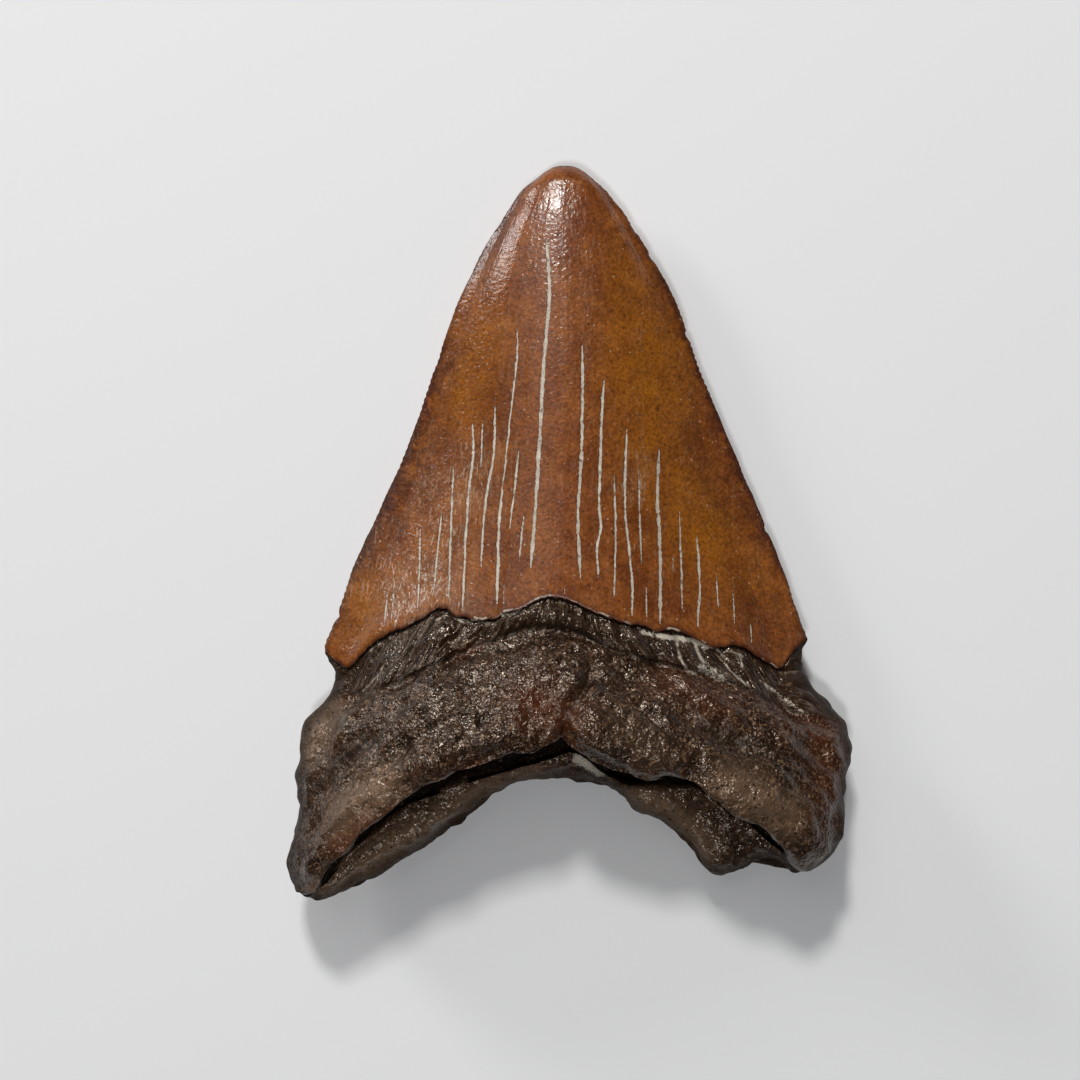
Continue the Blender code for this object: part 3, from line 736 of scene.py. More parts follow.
@dataclass
class FossilTooth:
    """The whole tooth: its skin, what its points carry, and its two finishes."""

    form: ToothForm = field(default_factory=ToothForm)
    cracks: Cracks = field(default_factory=Cracks)
    tints: Tints = field(default_factory=Tints)
    chips: tuple[tuple[Place, float], ...] = (
        ((9.0, 42.3), 0.5),
        ((11.4, 38.2), 0.45),
        ((16.6, 27.4), 0.4),
        ((-9.8, 43.0), 0.3),
        ((-32.6, -11.8), 0.5),
        ((27.4, 0.2), 0.35),
    )
    chip_reach: float = 0.55
    usual_wear: float = 0.4
    wear: Grain = Grain(1.2, 5.0, 3.7)
    edge_waves: Grain = Grain(0.14, 2.3, 9.1)
    notch_shares: tuple[float, ...] = (1.0, 0.7, 0.4, 0.15)
    fray_rows: int = 8
    fray_up: tuple[Grain, ...] = (Grain(0.3, 4.0, 21.0), Grain(0.09, 1.6, 5.0))
    fray_aside: tuple[Grain, ...] = (Grain(0.24, 3.6, 40.0), Grain(0.06, 1.4, 8.0))
    enamel: tuple[Grain, ...] = (Grain(0.05, 9.0), Grain(0.012, 0.9, 6.0))
    enamel_waves: Grain = Grain(0.035, 2.2, 2.0)
    broad_bone: Grain = Grain(0.6, 6.0, 11.0)
    fine_bone: tuple[Grain, ...] = (
        Grain(0.32, 2.6, 13.0),
        Grain(0.18, 1.25, 17.0),
        Grain(0.1, 0.75, 19.0),
    )
    furrows: Grain = Grain(0.46, 1.7, 31.0)
    wrinkles: Grain = Grain(0.3, 2.9, 37.0)
    strands: tuple[Grain, ...] = (Grain(0.6, 1.7, 23.0), Grain(0.3, 0.8, 29.0))
    splay: float = 0.85
    full_splay_at: float = 14.0
    neck_fade: Place = (-0.4, 0.6)
    labial_shift: Place = (0.8, -3.0)
    past_tip: float = 51.5
    no_vein: float = 5.0
    full_furrow: float = 2.4
    furrow_shade: float = 0.6
    ledge_shade: float = 0.8

    def skins(self) -> tuple[Skin, Skin]:
        """The two sheets with their notches, their ragged root and their grain."""
        upper = self.form.lingual()
        self.notch(upper)
        self.fray(upper)
        lower = self.form.labial(upper)
        for skin in (upper, lower):
            self.roughen(skin)
        for side in (0, -1):
            lower.points[:, side] = upper.points[:, side]
        for row in (0, -1):
            lower.points[row] = upper.points[row, ::2]
        for skin in (upper, lower):
            skin.points[..., 2] = np.maximum(skin.points[..., 2], 0.0)
        return upper, lower

    def notch(self, skin: Skin) -> None:
        """Cuts the worn notches and the chips into both cutting edges."""
        rows = np.arange(1, self.form.crown_rows)
        for end, inward in ((0, 1), (-1, -1)):
            edge = skin.points[rows, end]
            wear = np.clip(self.usual_wear + self.wear.on(edge), 0.0, 1.0)
            depth = self.form.notch_depth * wear * (rows % 2)
            for place, size in self.chips:
                away = np.linalg.norm(edge[:, :2] - np.array(place), axis=1)
                depth = depth + size * np.exp(-((away / self.chip_reach) ** 2))
            depth = depth + self.edge_waves.on(edge)
            for step, share in enumerate(self.notch_shares):
                column = step if end == 0 else -1 - step
                skin.points[rows, column, 0] += inward * depth * share

    def fray(self, skin: Skin) -> None:
        """Makes the root's outline and the lip as uneven as worn bone."""
        first = self.form.crown_rows + self.form.step_rows
        bone = skin.points[first:]
        fade = smoothstep(0, self.fray_rows, np.arange(len(bone), dtype=float))[:, None]
        bone[..., 1] += layers(self.fray_up, bone) * fade
        bone[..., 0] += layers(self.fray_aside, bone) * fade

    def roughen(self, skin: Skin) -> None:
        """Raises the grain of the root and the faint waves of the enamel along the normals."""
        points, normals = skin.points, skin.normals()
        crown = slice(0, skin.crown_rows + 1)
        root = slice(skin.crown_rows + 1, None)
        lift = np.zeros(points.shape[:-1])
        waves = self.enamel_waves.on(points[crown] * (1.0, 0.12, 1.0))
        lift[crown] = layers(self.enamel, points[crown]) + waves
        bone = points[root]
        depth = self.depth(skin)[root]
        band = self.neck(skin)[root]
        fibre = np.stack([self.fibre(skin)[root], depth / 2.6, 0 * depth], axis=-1)
        fine = 0.3 + 0.7 * smoothstep(0.0, 2.5, self.reach(skin)[root])
        rough = self.broad_bone.on(bone) + fine * layers(self.fine_bone, bone)
        flow = self.flow(bone)
        lines = self.furrows.on(flow) - np.abs(self.wrinkles.on(flow))
        strands = layers(self.strands, fibre)
        lift[root] = (rough + lines) * (1 - 0.6 * band) + strands * (0.1 + 0.9 * band)
        lift[root] *= smoothstep(-0.2, 0.8, depth)
        skin.points = points + lift[..., None] * normals

    @staticmethod
    def reach(skin: Skin) -> Array:
        """How far each point lies from the nearer side outline."""
        plan = skin.plan
        left = np.linalg.norm(plan - plan[:, :1], axis=-1)
        return np.minimum(left, np.linalg.norm(plan - plan[:, -1:], axis=-1))

    @staticmethod
    def flow(points: Array) -> Array:
        """Places measured along each lobe, shortened, and across it, for furrows along it."""
        side, y = np.abs(points[..., 0]), points[..., 1]
        along = (0.82 * side - 0.57 * y) / 5.0
        across = -0.57 * side - 0.82 * y
        return np.stack([along + 40.0 * (points[..., 0] > 0), across, points[..., 2]], axis=-1)

    def depth(self, skin: Skin) -> Array:
        """How far each point lies below the enamel's border, less than 0 on the enamel."""
        border = skin.points[skin.crown_rows]
        under = np.interp(skin.plan[..., 0], border[:, 0], border[:, 1]) - skin.plan[..., 1]
        rows = np.arange(skin.points.shape[0])[:, None]
        return np.where(rows > skin.crown_rows, np.maximum(under, 0), np.minimum(under, 0))

    def neck(self, skin: Skin) -> Array:
        """1 on the band between the enamel and the ledge, 0 elsewhere."""
        under = smoothstep(*self.neck_fade, -self.form.ledge_depth(skin.plan))
        rows = np.arange(skin.points.shape[0])[:, None]
        return under * (rows > skin.crown_rows)

    def fibre(self, skin: Skin) -> Array:
        """A place across the strands of the neck band, which splay outwards going down."""
        x = skin.plan[..., 0]
        splay = np.clip(x / self.full_splay_at, -1.0, 1.0) * self.splay
        return x - splay * np.maximum(self.depth(skin), 0.0)

    def marks(self, skin: Skin, mirrored: bool) -> dict[Mark, Array]:
        """What the skin's points carry for the finishes.

        Args:
            skin: One sheet.
            mirrored: Whether the sheet is the labial one, whose cracks and tints are turned.

        Returns:
            A value for each point, by mark.
        """
        plan = skin.plan
        seen = plan * (-1.0, 1.0) + self.labial_shift if mirrored else plan
        found = self.cracks.marks(seen)
        found[Mark.CUTTING_EDGE] = np.minimum(self.reach(skin), self.past_tip - plan[..., 1])
        found[Mark.BORDER_DEPTH] = self.depth(skin)
        turned = {
            Mark.GOLD: self.tints.gold,
            Mark.BLUSH: self.tints.blush,
            Mark.DUSK: self.tints.dusk,
            Mark.SCUFF_AND_SHEEN: self.tints.scuff_and_sheen,
            Mark.RUST: self.tints.rust,
        }
        found |= {mark: total(strokes, seen) for mark, strokes in turned.items()}
        found[Mark.NECK] = self.neck(skin)
        found[Mark.FIBRE] = self.fibre(skin)
        found[Mark.CRUST] = total(self.tints.crust, plan) * (0.0 if mirrored else 1.0)
        veins = [distance_to(path, plan) - width for path, width in self.tints.veins]
        found[Mark.VEIN] = np.minimum.reduce(veins) + (self.no_vein if mirrored else 0.0)
        found[Mark.HOLLOW_SHADE] = self.hollow_shade(skin, mirrored)
        found[Mark.PAINTED_LIGHT] = total(self.tints.pale, plan)
        rear = np.linalg.norm(plan - plan[-1:], axis=-1)
        found[Mark.RIM] = np.minimum(self.reach(skin), rear)
        return found

    def hollow_shade(self, skin: Skin, mirrored: bool) -> Array:
        """How deep each point lies in a furrow, a ledge or the groove, from 0 to 1, for the shade
        painted there.
        """
        if mirrored:
            return np.clip(total(self.form.relief.labial, skin.plan), 0.0, 1.0)
        relief = self.form.relief
        deep = np.clip(-total(relief.face, skin.plan) / self.full_furrow, 0.0, self.furrow_shade)
        ledge = np.exp(-((self.form.ledge_depth(skin.plan) / relief.ledge_reach) ** 2))
        first = self.form.crown_rows + self.form.step_rows + self.form.face_rows
        last = first + self.form.wall_rows + self.form.rise_rows
        rows = np.arange(skin.points.shape[0])
        groove = smoothstep(first + 1, first + 6, rows) * (1 - smoothstep(last - 2, last + 1, rows))
        face = rows <= first
        found = np.where(face[:, None], np.maximum(deep, self.ledge_shade * ledge), 0.0)
        found[: skin.crown_rows + 1] = 0.0
        return np.maximum(found, groove[:, None])

    def build(self) -> bpy.types.Object:
        """Makes the tooth as one closed mesh and dresses it.

        Returns:
            The tooth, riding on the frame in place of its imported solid.
        """
        upper, lower = self.skins()
        rows, columns = upper.points.shape[0] - 1, self.form.columns
        front = np.arange((rows + 1) * (columns + 1)).reshape(rows + 1, columns + 1)
        back = np.empty(lower.points.shape[:2], int)
        back[:, 0], back[:, -1] = front[:, 0], front[:, -1]
        back[0], back[-1] = front[0, ::2], front[-1, ::2]
        inner = np.s_[1:-1, 1:-1]
        back[inner] = front.size + np.arange(back[inner].size).reshape(back[inner].shape)

        faces = quads(front).tolist()
        faces += [face[::-1] for face in quads(back[1:-1]).tolist()]
        for row, outer in ((0, 0), (rows - 1, rows)):
            for column in range(columns // 2):
                above = list(back[row, column : column + 2])
                under = list(back[row + 1, column : column + 2])
                (above if outer == 0 else under).insert(1, front[outer, 2 * column + 1])
                faces.append(above + under[::-1])
        points = np.concatenate([upper.points.reshape(-1, 3), lower.points[inner].reshape(-1, 3)])
        mesh = bpy.data.meshes.new("tooth")
        mesh.from_pydata((points * MM).tolist(), [], faces)
        for finish in (EnamelFinish(), RootFinish()):
            mesh.materials.append(finish.material())
        mesh.polygons.foreach_set("material_index", self.slots(rows, columns))
        lingual, labial = self.marks(upper, mirrored=False), self.marks(lower, mirrored=True)
        for mark in Mark:
            values = np.concatenate([lingual[mark].ravel(), labial[mark][inner].ravel()])
            attribute = mesh.attributes.new(mark.value, "FLOAT", "POINT")
            attribute.data.foreach_set("value", values.astype(np.float32))
        mesh.update()
        mesh.shade_smooth()
        tooth = bpy.data.objects.new("fossil_tooth", mesh)
        bpy.context.scene.collection.objects.link(tooth)
        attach(tooth, "root")
        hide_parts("tooth")
        return tooth

    def slots(self, rows: int, columns: int) -> list[int]:
        """The finish of each face, in the order in which build lists the faces."""
        row = np.where(np.arange(rows) >= self.form.crown_rows, Slot.ROOT, Slot.ENAMEL)
        front = np.repeat(row, columns)
        back = np.repeat(row[1:-1], columns // 2)
        ends = [Slot.ENAMEL] * (columns // 2) + [Slot.ROOT] * (columns // 2)
        return [int(slot) for slot in (*front, *back, *ends)]


def quads(grid: Array) -> Array:
    """Four-cornered faces of a grid of point numbers, facing up."""
    corners = (grid[:-1, :-1], grid[1:, :-1], grid[1:, 1:], grid[:-1, 1:])
    return np.stack(corners, axis=-1).reshape(-1, 4)


Socket = bpy.types.NodeSocket
Value = float | Colour | Socket


def shade(red: int, green: int, blue: int) -> Colour:
    """A colour from its display values between 0 and 255."""
    steps = (red / 255, green / 255, blue / 255)
    return tuple(s / 12.92 if s < 0.04 else ((s + 0.055) / 1.055) ** 2.4 for s in steps)


class Nodes:
    """A node tree, with short calls that add nodes to it and join them."""

    def __init__(self, tree: bpy.types.NodeTree) -> None:
        """Works on a tree that exists."""
        self.tree = tree

    def put(self, value: Value, socket: Socket) -> None:
        """Sets a socket's number or colour, or links another socket to it."""
        if isinstance(value, Socket):
            self.tree.links.new(value, socket)
        elif socket.type == "RGBA":
            socket.default_value = (*value, 1.0)
        else:
            socket.default_value = value

    def add(
        self, kind: str, values: dict[int | str, Value] | None = None, **settings: object
    ) -> bpy.types.Node:
        """Adds a node.

        Args:
            kind: The node's type.
            values: What goes into its inputs, by name or number.
            **settings: The node's own settings.

        Returns:
            The node.
        """
        node = self.tree.nodes.new(kind)
        for name, setting in settings.items():
            setattr(node, name, setting)
        for name, value in (values or {}).items():
            self.put(value, node.inputs[name])
        return node

    def math(self, operation: str, *values: Value) -> Socket:
        """The result of a calculation with one, two or three values."""
        return self.add("ShaderNodeMath", dict(enumerate(values)), operation=operation).outputs[0]

    def vector(self, operation: str, values: dict[int | str, Value]) -> Socket:
        """The result of a calculation with places or colours."""
        return self.add("ShaderNodeVectorMath", values, operation=operation).outputs[0]

    def chain(self, operation: str, values: tuple[Value, ...]) -> Socket:
        """The result of one calculation done with several values in turn."""
        result = values[0]
        for value in values[1:]:
            result = self.math(operation, result, value)
        return result

    def plus(self, *values: Value) -> Socket:
        """The sum of several values."""
        return self.chain("ADD", values)

    def times(self, *values: Value) -> Socket:
        """The product of several values."""
        return self.chain("MULTIPLY", values)

    def rise(self, value: Value, low: Value, high: Value) -> Socket:
        """A smooth rise from 0 to 1 while the value goes from low to high."""
        values = {"Value": value, "From Min": low, "From Max": high}
        return self.add("ShaderNodeMapRange", values, interpolation_type="SMOOTHSTEP").outputs[0]

    def between(self, share: Value, first: Value, second: Value) -> Socket:
        """A number on the way from first to second."""
        values = {"Value": share, "To Min": first, "To Max": second}
        return self.add("ShaderNodeMapRange", values).outputs[0]

    def tinted(self, share: Value, first: Value, second: Value) -> Socket:
        """A colour on the way from first to second."""
        values = {0: share, 6: first, 7: second}
        return self.add("ShaderNodeMix", values, data_type="RGBA").outputs[2]

    def mark(self, mark: Mark) -> Socket:
        """What the skin's points carry under a name."""
        return self.add("ShaderNodeAttribute", attribute_name=mark.value).outputs["Fac"]

    def place(self) -> Socket:
        """Place on the object in millimetres."""
        place = self.add("ShaderNodeTexCoord").outputs["Object"]
        return self.vector("SCALE", {0: place, "Scale": 1 / MM})

    def moved(self, place: Value, seed: Value) -> Socket:
        """A place shifted by a seed along each axis."""
        shift = self.add("ShaderNodeCombineXYZ", {axis: seed for axis in range(3)})
        return self.vector("ADD", {0: place, 1: shift.outputs[0]})

    def stretched(self, place: Value, shares: Triple, shift: Triple = (0.0, 0.0, 0.0)) -> Socket:
        """A place whose three parts are scaled and then shifted."""
        return self.vector("MULTIPLY_ADD", {0: place, 1: shares, 2: shift})

    def noise(
        self, place: Value, wave: Value, detail: float = 2.0, rough: float = 0.5, twist: float = 0.0
    ) -> Socket:
        """Soft noise around 0.5.

        Args:
            place: Where to read it.
            wave: Distance between its bumps.
            detail: How many finer layers it has.
            rough: How strong the finer layers are.
            twist: How far it is bent out of shape.

        Returns:
            The noise's value.
        """
        scale = self.math("DIVIDE", 1.0, wave) if isinstance(wave, Socket) else 1 / wave
        values = {"Vector": place, "Detail": detail, "Roughness": rough, "Distortion": twist}
        return self.add("ShaderNodeTexNoise", {**values, "Scale": scale}).outputs[0]

    def effect(self, effect: type["Effect"], place: Value, **values: Value) -> Socket:
        """Places a shared effect with this finish's values and gives what it puts out."""
        inputs = {name.capitalize(): value for name, value in values.items()}
        inputs["Place"] = place
        return self.add("ShaderNodeGroup", inputs, node_tree=effect.tree()).outputs[0]

    def bump(self, *heights: Value) -> Socket:
        """The normal of a surface raised by the sum of several heights in millimetres."""
        values = {"Distance": MM, "Height": self.plus(*heights)}
        return self.add("ShaderNodeBump", values).outputs[0]

    def surface(self, values: dict[str, Value]) -> None:
        """Adds the material's own shader and its output."""
        shader = self.add("ShaderNodeBsdfPrincipled", values)
        self.add("ShaderNodeOutputMaterial", {"Surface": shader.outputs[0]})


class Paint:
    """A colour that tints are laid over, one after the other."""

    def __init__(self, nodes: Nodes, colour: Value) -> None:
        """Starts from the lowest colour."""
        self.nodes = nodes
        self.colour = colour

    def tint(self, tint: Value, *masks: Value) -> None:
        """Lays a tint over the colour, as strongly as the masks' product says."""
        self.colour = self.nodes.tinted(self.nodes.times(*masks), self.colour, tint)

    def darken(self, share: Value) -> None:
        """Leaves only a share of the colour's light."""
        self.colour = self.nodes.vector("SCALE", {0: self.colour, "Scale": share})


def new_material(name: str) -> tuple[bpy.types.Material, Nodes]:
    """A material without nodes, and the calls that add them."""
    material = bpy.data.materials.new(name)
    material.use_nodes = True
    material.node_tree.nodes.clear()
    return material, Nodes(material.node_tree)


class Effect:
    """A node group that several finishes place, each with its own values. It is built once."""

    name: str = ""
    numbers: tuple[tuple[str, float], ...] = ()
    result: str = "Mask"

    @classmethod
    def tree(cls) -> bpy.types.NodeTree:
        """The effect's node group, made on its first use."""
        known = bpy.data.node_groups.get(cls.name)
        if known:
            return known
        tree = bpy.data.node_groups.new(cls.name, "ShaderNodeTree")
        tree.interface.new_socket("Place", in_out="INPUT", socket_type="NodeSocketVector")
        for name, value in cls.numbers:
            socket = tree.interface.new_socket(name, in_out="INPUT", socket_type="NodeSocketFloat")
            socket.default_value = value
        tree.interface.new_socket(cls.result, in_out="OUTPUT", socket_type="NodeSocketFloat")
        nodes = Nodes(tree)
        given = nodes.add("NodeGroupInput").outputs
        nodes.add("NodeGroupOutput", {cls.result: cls.fill(nodes, given)})
        return tree

    @classmethod
    def fill(cls, nodes: Nodes, given: bpy.types.NodeOutputs) -> Socket:
        """Adds the effect's own nodes and gives the socket with its result."""
        raise NotImplementedError


class Mottle(Effect):
    """Cloudy patches with ragged edges, as old mineral stains make them."""

    name = "Mottle"
    numbers = (("Size", 4.0), ("Amount", 0.5), ("Edge", 0.12), ("Seed", 0.0))

    @classmethod
    def fill(cls, nodes: Nodes, given: bpy.types.NodeOutputs) -> Socket:
        """Noise cut softly at the level that leaves the wanted amount."""
        moved = nodes.moved(given["Place"], given["Seed"])
        cloud = nodes.noise(moved, given["Size"], detail=5.0, rough=0.62, twist=0.4)
        level = nodes.between(given["Amount"], 0.72, 0.28)
        low = nodes.math("SUBTRACT", level, given["Edge"])
        return nodes.rise(cloud, low, nodes.plus(level, given["Edge"]))


class Flecks(Effect):
    """Small scattered specks of uneven size."""

    name = "Flecks"
    numbers = (("Size", 0.8), ("Amount", 0.4), ("Seed", 0.0))

    @classmethod
    def fill(cls, nodes: Nodes, given: bpy.types.NodeOutputs) -> Socket:
        """One speck in some of the cells of a random pattern."""
        scale = nodes.math("DIVIDE", 1.0, given["Size"])
        moved = nodes.moved(given["Place"], given["Seed"])
        cells = nodes.add("ShaderNodeTexVoronoi", {"Vector": moved, "Scale": scale})
        chance = nodes.add("ShaderNodeSeparateXYZ", {0: cells.outputs["Color"]}).outputs
        wanted = nodes.rise(nodes.math("SUBTRACT", given["Amount"], chance[0]), 0.0, 0.1)
        radius = nodes.between(chance[1], 0.12, 0.42)
        ragged = nodes.times(nodes.plus(nodes.noise(moved, 0.4), -0.5), 0.5)
        inside = nodes.math("SUBTRACT", radius, nodes.plus(cells.outputs["Distance"], ragged))
        return nodes.times(wanted, nodes.rise(inside, -0.05, 0.08))


class Seam(Effect):
    """A thin line with ragged sides and breaks, such as a mineral-filled crack."""

    name = "Seam"
    numbers = (("Distance", 1.0), ("Half", 0.1), ("Breaks", 0.3), ("Blur", 0.05))

    @classmethod
    def fill(cls, nodes: Nodes, given: bpy.types.NodeOutputs) -> Socket:
        """Covers the places nearer than the half width, which varies along the line."""
        place, cut = given["Place"], given["Breaks"]
        swell = nodes.between(nodes.noise(place, 1.3, detail=3.0), 0.0, 2.0)
        half = nodes.times(given["Half"], swell)
        ragged = nodes.plus(nodes.noise(place, 0.4, detail=4.0, rough=0.65), -0.5)
        near = nodes.plus(given["Distance"], nodes.times(ragged, 0.48))
        inside = nodes.math("SUBTRACT", half, near)
        line = nodes.rise(inside, nodes.times(given["Blur"], -1.0), given["Blur"])
        gaps = nodes.noise(place, 2.1)
        return nodes.times(line, nodes.rise(gaps, nodes.plus(cut, -0.05), nodes.plus(cut, 0.05)))


class Strands(Effect):
    """Fine streaks that run along the second axis of the place they are given."""

    name = "Strands"
    numbers = (("Width", 0.4), ("Amount", 0.4))

    @classmethod
    def fill(cls, nodes: Nodes, given: bpy.types.NodeOutputs) -> Socket:
        """Long thin noise, broken up by a softer one."""
        streak = nodes.noise(given["Place"], given["Width"], detail=3.0, rough=0.6)
        level = nodes.between(given["Amount"], 0.7, 0.35)
        fine = nodes.rise(streak, level, nodes.plus(level, 0.14))
        return nodes.times(fine, nodes.rise(nodes.noise(given["Place"], 2.4), 0.3, 0.7))


class FineRelief(Effect):
    """Height in millimetres of a fine uneven surface, around 0."""

    name = "Fine relief"
    numbers = (("Size", 1.0), ("Depth", 0.1))
    result = "Height"

    @classmethod
    def fill(cls, nodes: Nodes, given: bpy.types.NodeOutputs) -> Socket:
        """Noise around 0 in two layers, scaled to the wanted depth."""
        bumps = nodes.noise(given["Place"], given["Size"], detail=1.0, rough=0.45, twist=0.5)
        return nodes.times(nodes.plus(bumps, -0.5), 2.0, given["Depth"])


@dataclass(frozen=True)
class EnamelFinish:
    """Glossy amber enamel, crazed, scuffed and stained, with a painted sheen over its scuffs and
    painted shade along its border.
    """

    amber: Colour = shade(128, 70, 28)
    honey: Colour = shade(148, 88, 38)
    umber: Colour = shade(96, 46, 18)
    plum: Colour = shade(68, 32, 20)
    gold: Colour = shade(152, 90, 16)
    blush: Colour = shade(132, 74, 42)
    haze_and_sheen: Colour = shade(178, 140, 108)
    scratch: Colour = shade(204, 182, 158)
    mineral: Colour = shade(194, 184, 168)
    chalk: Colour = shade(222, 214, 198)
    stain: Colour = shade(112, 92, 76)
    roughness: float = 0.22
    duller: float = 0.12
    glossier: float = 0.1
    refraction: float = 1.45
    coat: float = 0.06
    coat_roughness: float = 0.16
    scratch_runs: tuple[Triple, ...] = ((0.06, 0.34, 0.42), (0.8, 0.32, 0.3), (-0.6, 0.32, 0.26))

    def material(self) -> bpy.types.Material:
        """Builds the finish."""
        material, nodes = new_material("amber_enamel")
        place = nodes.place()
        tall = nodes.stretched(place, (1.0, 0.16, 1.0))
        scuff_and_sheen = nodes.mark(Mark.SCUFF_AND_SHEEN)
        crack, halo, line = self.cracks(nodes, place)
        streak = nodes.effect(Strands, tall, width=0.42, amount=0.42)
        speck = nodes.effect(Flecks, place, size=0.45, amount=0.1, seed=31.0)

        cloud = nodes.effect(Mottle, place, size=8.0, amount=0.5, edge=0.2)
        paint = Paint(nodes, nodes.tinted(cloud, self.amber, self.honey))
        patch = nodes.effect(Mottle, place, size=3.8, amount=0.5, edge=0.14, seed=7.0)
        paint.tint(self.umber, patch, 0.75)
        uneven = nodes.between(nodes.noise(place, 3.0, detail=5.0, rough=0.65), -0.6, 2.2)
        paint.tint(self.blush, nodes.mark(Mark.BLUSH), uneven, 0.5)
        paint.tint(self.gold, nodes.mark(Mark.GOLD), uneven, 0.8)
        paint.tint(self.plum, self.dusk(nodes, place))
        speckle = nodes.noise(place, 0.45, detail=3.0, rough=0.7)
        paint.darken(nodes.between(speckle, -0.15, 2.1))
        # painted sheen: pale haze laid over the scuffed patches and the streaks
        paint.tint(self.haze_and_sheen, scuff_and_sheen, uneven, 0.12)
        paint.tint(self.haze_and_sheen, streak, nodes.plus(0.05, nodes.times(scuff_and_sheen, 0.5)))
        paint.tint(self.plum, nodes.effect(Flecks, place, size=0.8, amount=0.3), 0.45)
        paint.tint(self.haze_and_sheen, speck, nodes.rise(nodes.noise(place, 5.0), 0.35, 0.65))
        # the scratches show more in the scuffed patches, partly as a painted sheen
        worn_and_sheen = nodes.plus(nodes.times(scuff_and_sheen, 0.7), 0.1)
        paint.tint(self.scratch, self.scratches(nodes, place), worn_and_sheen)
        paint.tint(self.plum, halo, 0.45)
        paint.tint(line, crack)
        depth = nodes.mark(Mark.BORDER_DEPTH)
        # painted shade on the enamel next to its border, which dulls the light on the border's rounded
        # edge
        border_shade = nodes.rise(nodes.plus(depth, nodes.noise(place, 0.8)), -0.5, 0.6)
        paint.tint(self.plum, border_shade, 0.85)
        rim = nodes.math("ABSOLUTE", nodes.plus(depth, 0.25))
        crust = nodes.effect(Seam, place, distance=rim, half=0.13, breaks=0.6)
        paint.tint(self.mineral, crust, 0.8)

        wear = nodes.noise(place, 1.6, detail=3.0)
        gloss = nodes.between(wear, self.roughness - self.glossier, self.roughness + self.duller)
        long = nodes.stretched(place, (1.0, 0.05, 1.0))
        normal = nodes.bump(
            nodes.effect(FineRelief, place, size=0.5, depth=0.03),
            nodes.effect(FineRelief, tall, size=1.3, depth=0.035),
            nodes.effect(FineRelief, long, size=0.6, depth=nodes.times(scuff_and_sheen, 0.07)),
            nodes.times(crack, -0.05),
            nodes.times(speck, -0.03),
            nodes.times(streak, 0.012),
        )
        nodes.surface(
            {
                "Base Color": paint.colour,
                "Roughness": nodes.plus(gloss, nodes.times(crack, 0.3)),
                "Normal": normal,
                "IOR": self.refraction,
                "Coat Weight": self.coat,
                "Coat Roughness": self.coat_roughness,
            }
        )
        return material

    @staticmethod
    def dusk(nodes: Nodes, place: Value) -> Socket:
        """Dark blotches beside the cutting edges and where the skin's mark has them."""
        blotch = nodes.between(nodes.noise(place, 1.9, detail=6.0, rough=0.7), -1.4, 2.8)
        ragged = nodes.times(nodes.noise(place, 1.2, detail=4.0), -1.4)
        near = nodes.rise(nodes.plus(nodes.mark(Mark.CUTTING_EDGE), ragged), 0.4, -0.7)
        dark = nodes.plus(nodes.times(nodes.mark(Mark.DUSK), blotch, 0.8), nodes.times(near, 0.5))
        return nodes.math("MINIMUM", dark, 0.9)

    def scratches(self, nodes: Nodes, place: Value) -> Socket:
        """Fine worn lines, most of them along the tooth and some across."""
        masks = []
        for angle, width, amount in self.scratch_runs:
            values = {"Vector": place, "Angle": angle}
            turned = nodes.add("ShaderNodeVectorRotate", values, rotation_type="Z_AXIS").outputs[0]
            long = nodes.stretched(turned, (1.0, 0.09, 1.0), (9.0 * angle, 0.0, 0.0))
            masks.append(nodes.effect(Strands, long, width=width, amount=amount))
        return nodes.math("MINIMUM", nodes.plus(*masks), 1.0)

    def cracks(self, nodes: Nodes, place: Value) -> tuple[Socket, ...]:
        """Where the cracks show and what fills them.

        Args:
            nodes: The material's nodes.
            place: Place on the object in millimetres.

        Returns:
            The cracks' mask, the dark halo around them and the colour of what fills them.
        """
        row, half = nodes.mark(Mark.CRACK_PLACE), nodes.mark(Mark.CRACK_HALF)
        aside = nodes.math("ABSOLUTE", nodes.plus(nodes.math("FRACT", row), -0.5))
        away = nodes.times(aside, Cracks.spread)
        seam = nodes.effect(Seam, place, distance=away, half=half, breaks=0.24)
        wide = nodes.plus(half, 0.1)
        halo = nodes.effect(Seam, place, distance=away, half=wide, breaks=0.1, blur=0.12)
        number = {"W": nodes.math("FLOOR", row)}
        chance = nodes.add("ShaderNodeTexWhiteNoise", number, noise_dimensions="1D").outputs[0]
        dirt = nodes.rise(nodes.noise(place, 0.9, detail=3.0), 0.56, 0.7)
        fresh = nodes.rise(nodes.noise(place, 0.8, detail=4.0, rough=0.65), 0.42, 0.66)
        fill = Paint(nodes, nodes.tinted(fresh, self.mineral, self.chalk))
        fill.tint(self.stain, dirt, 0.8)
        return nodes.times(seam, nodes.between(chance, 0.82, 1.0)), halo, fill.colour


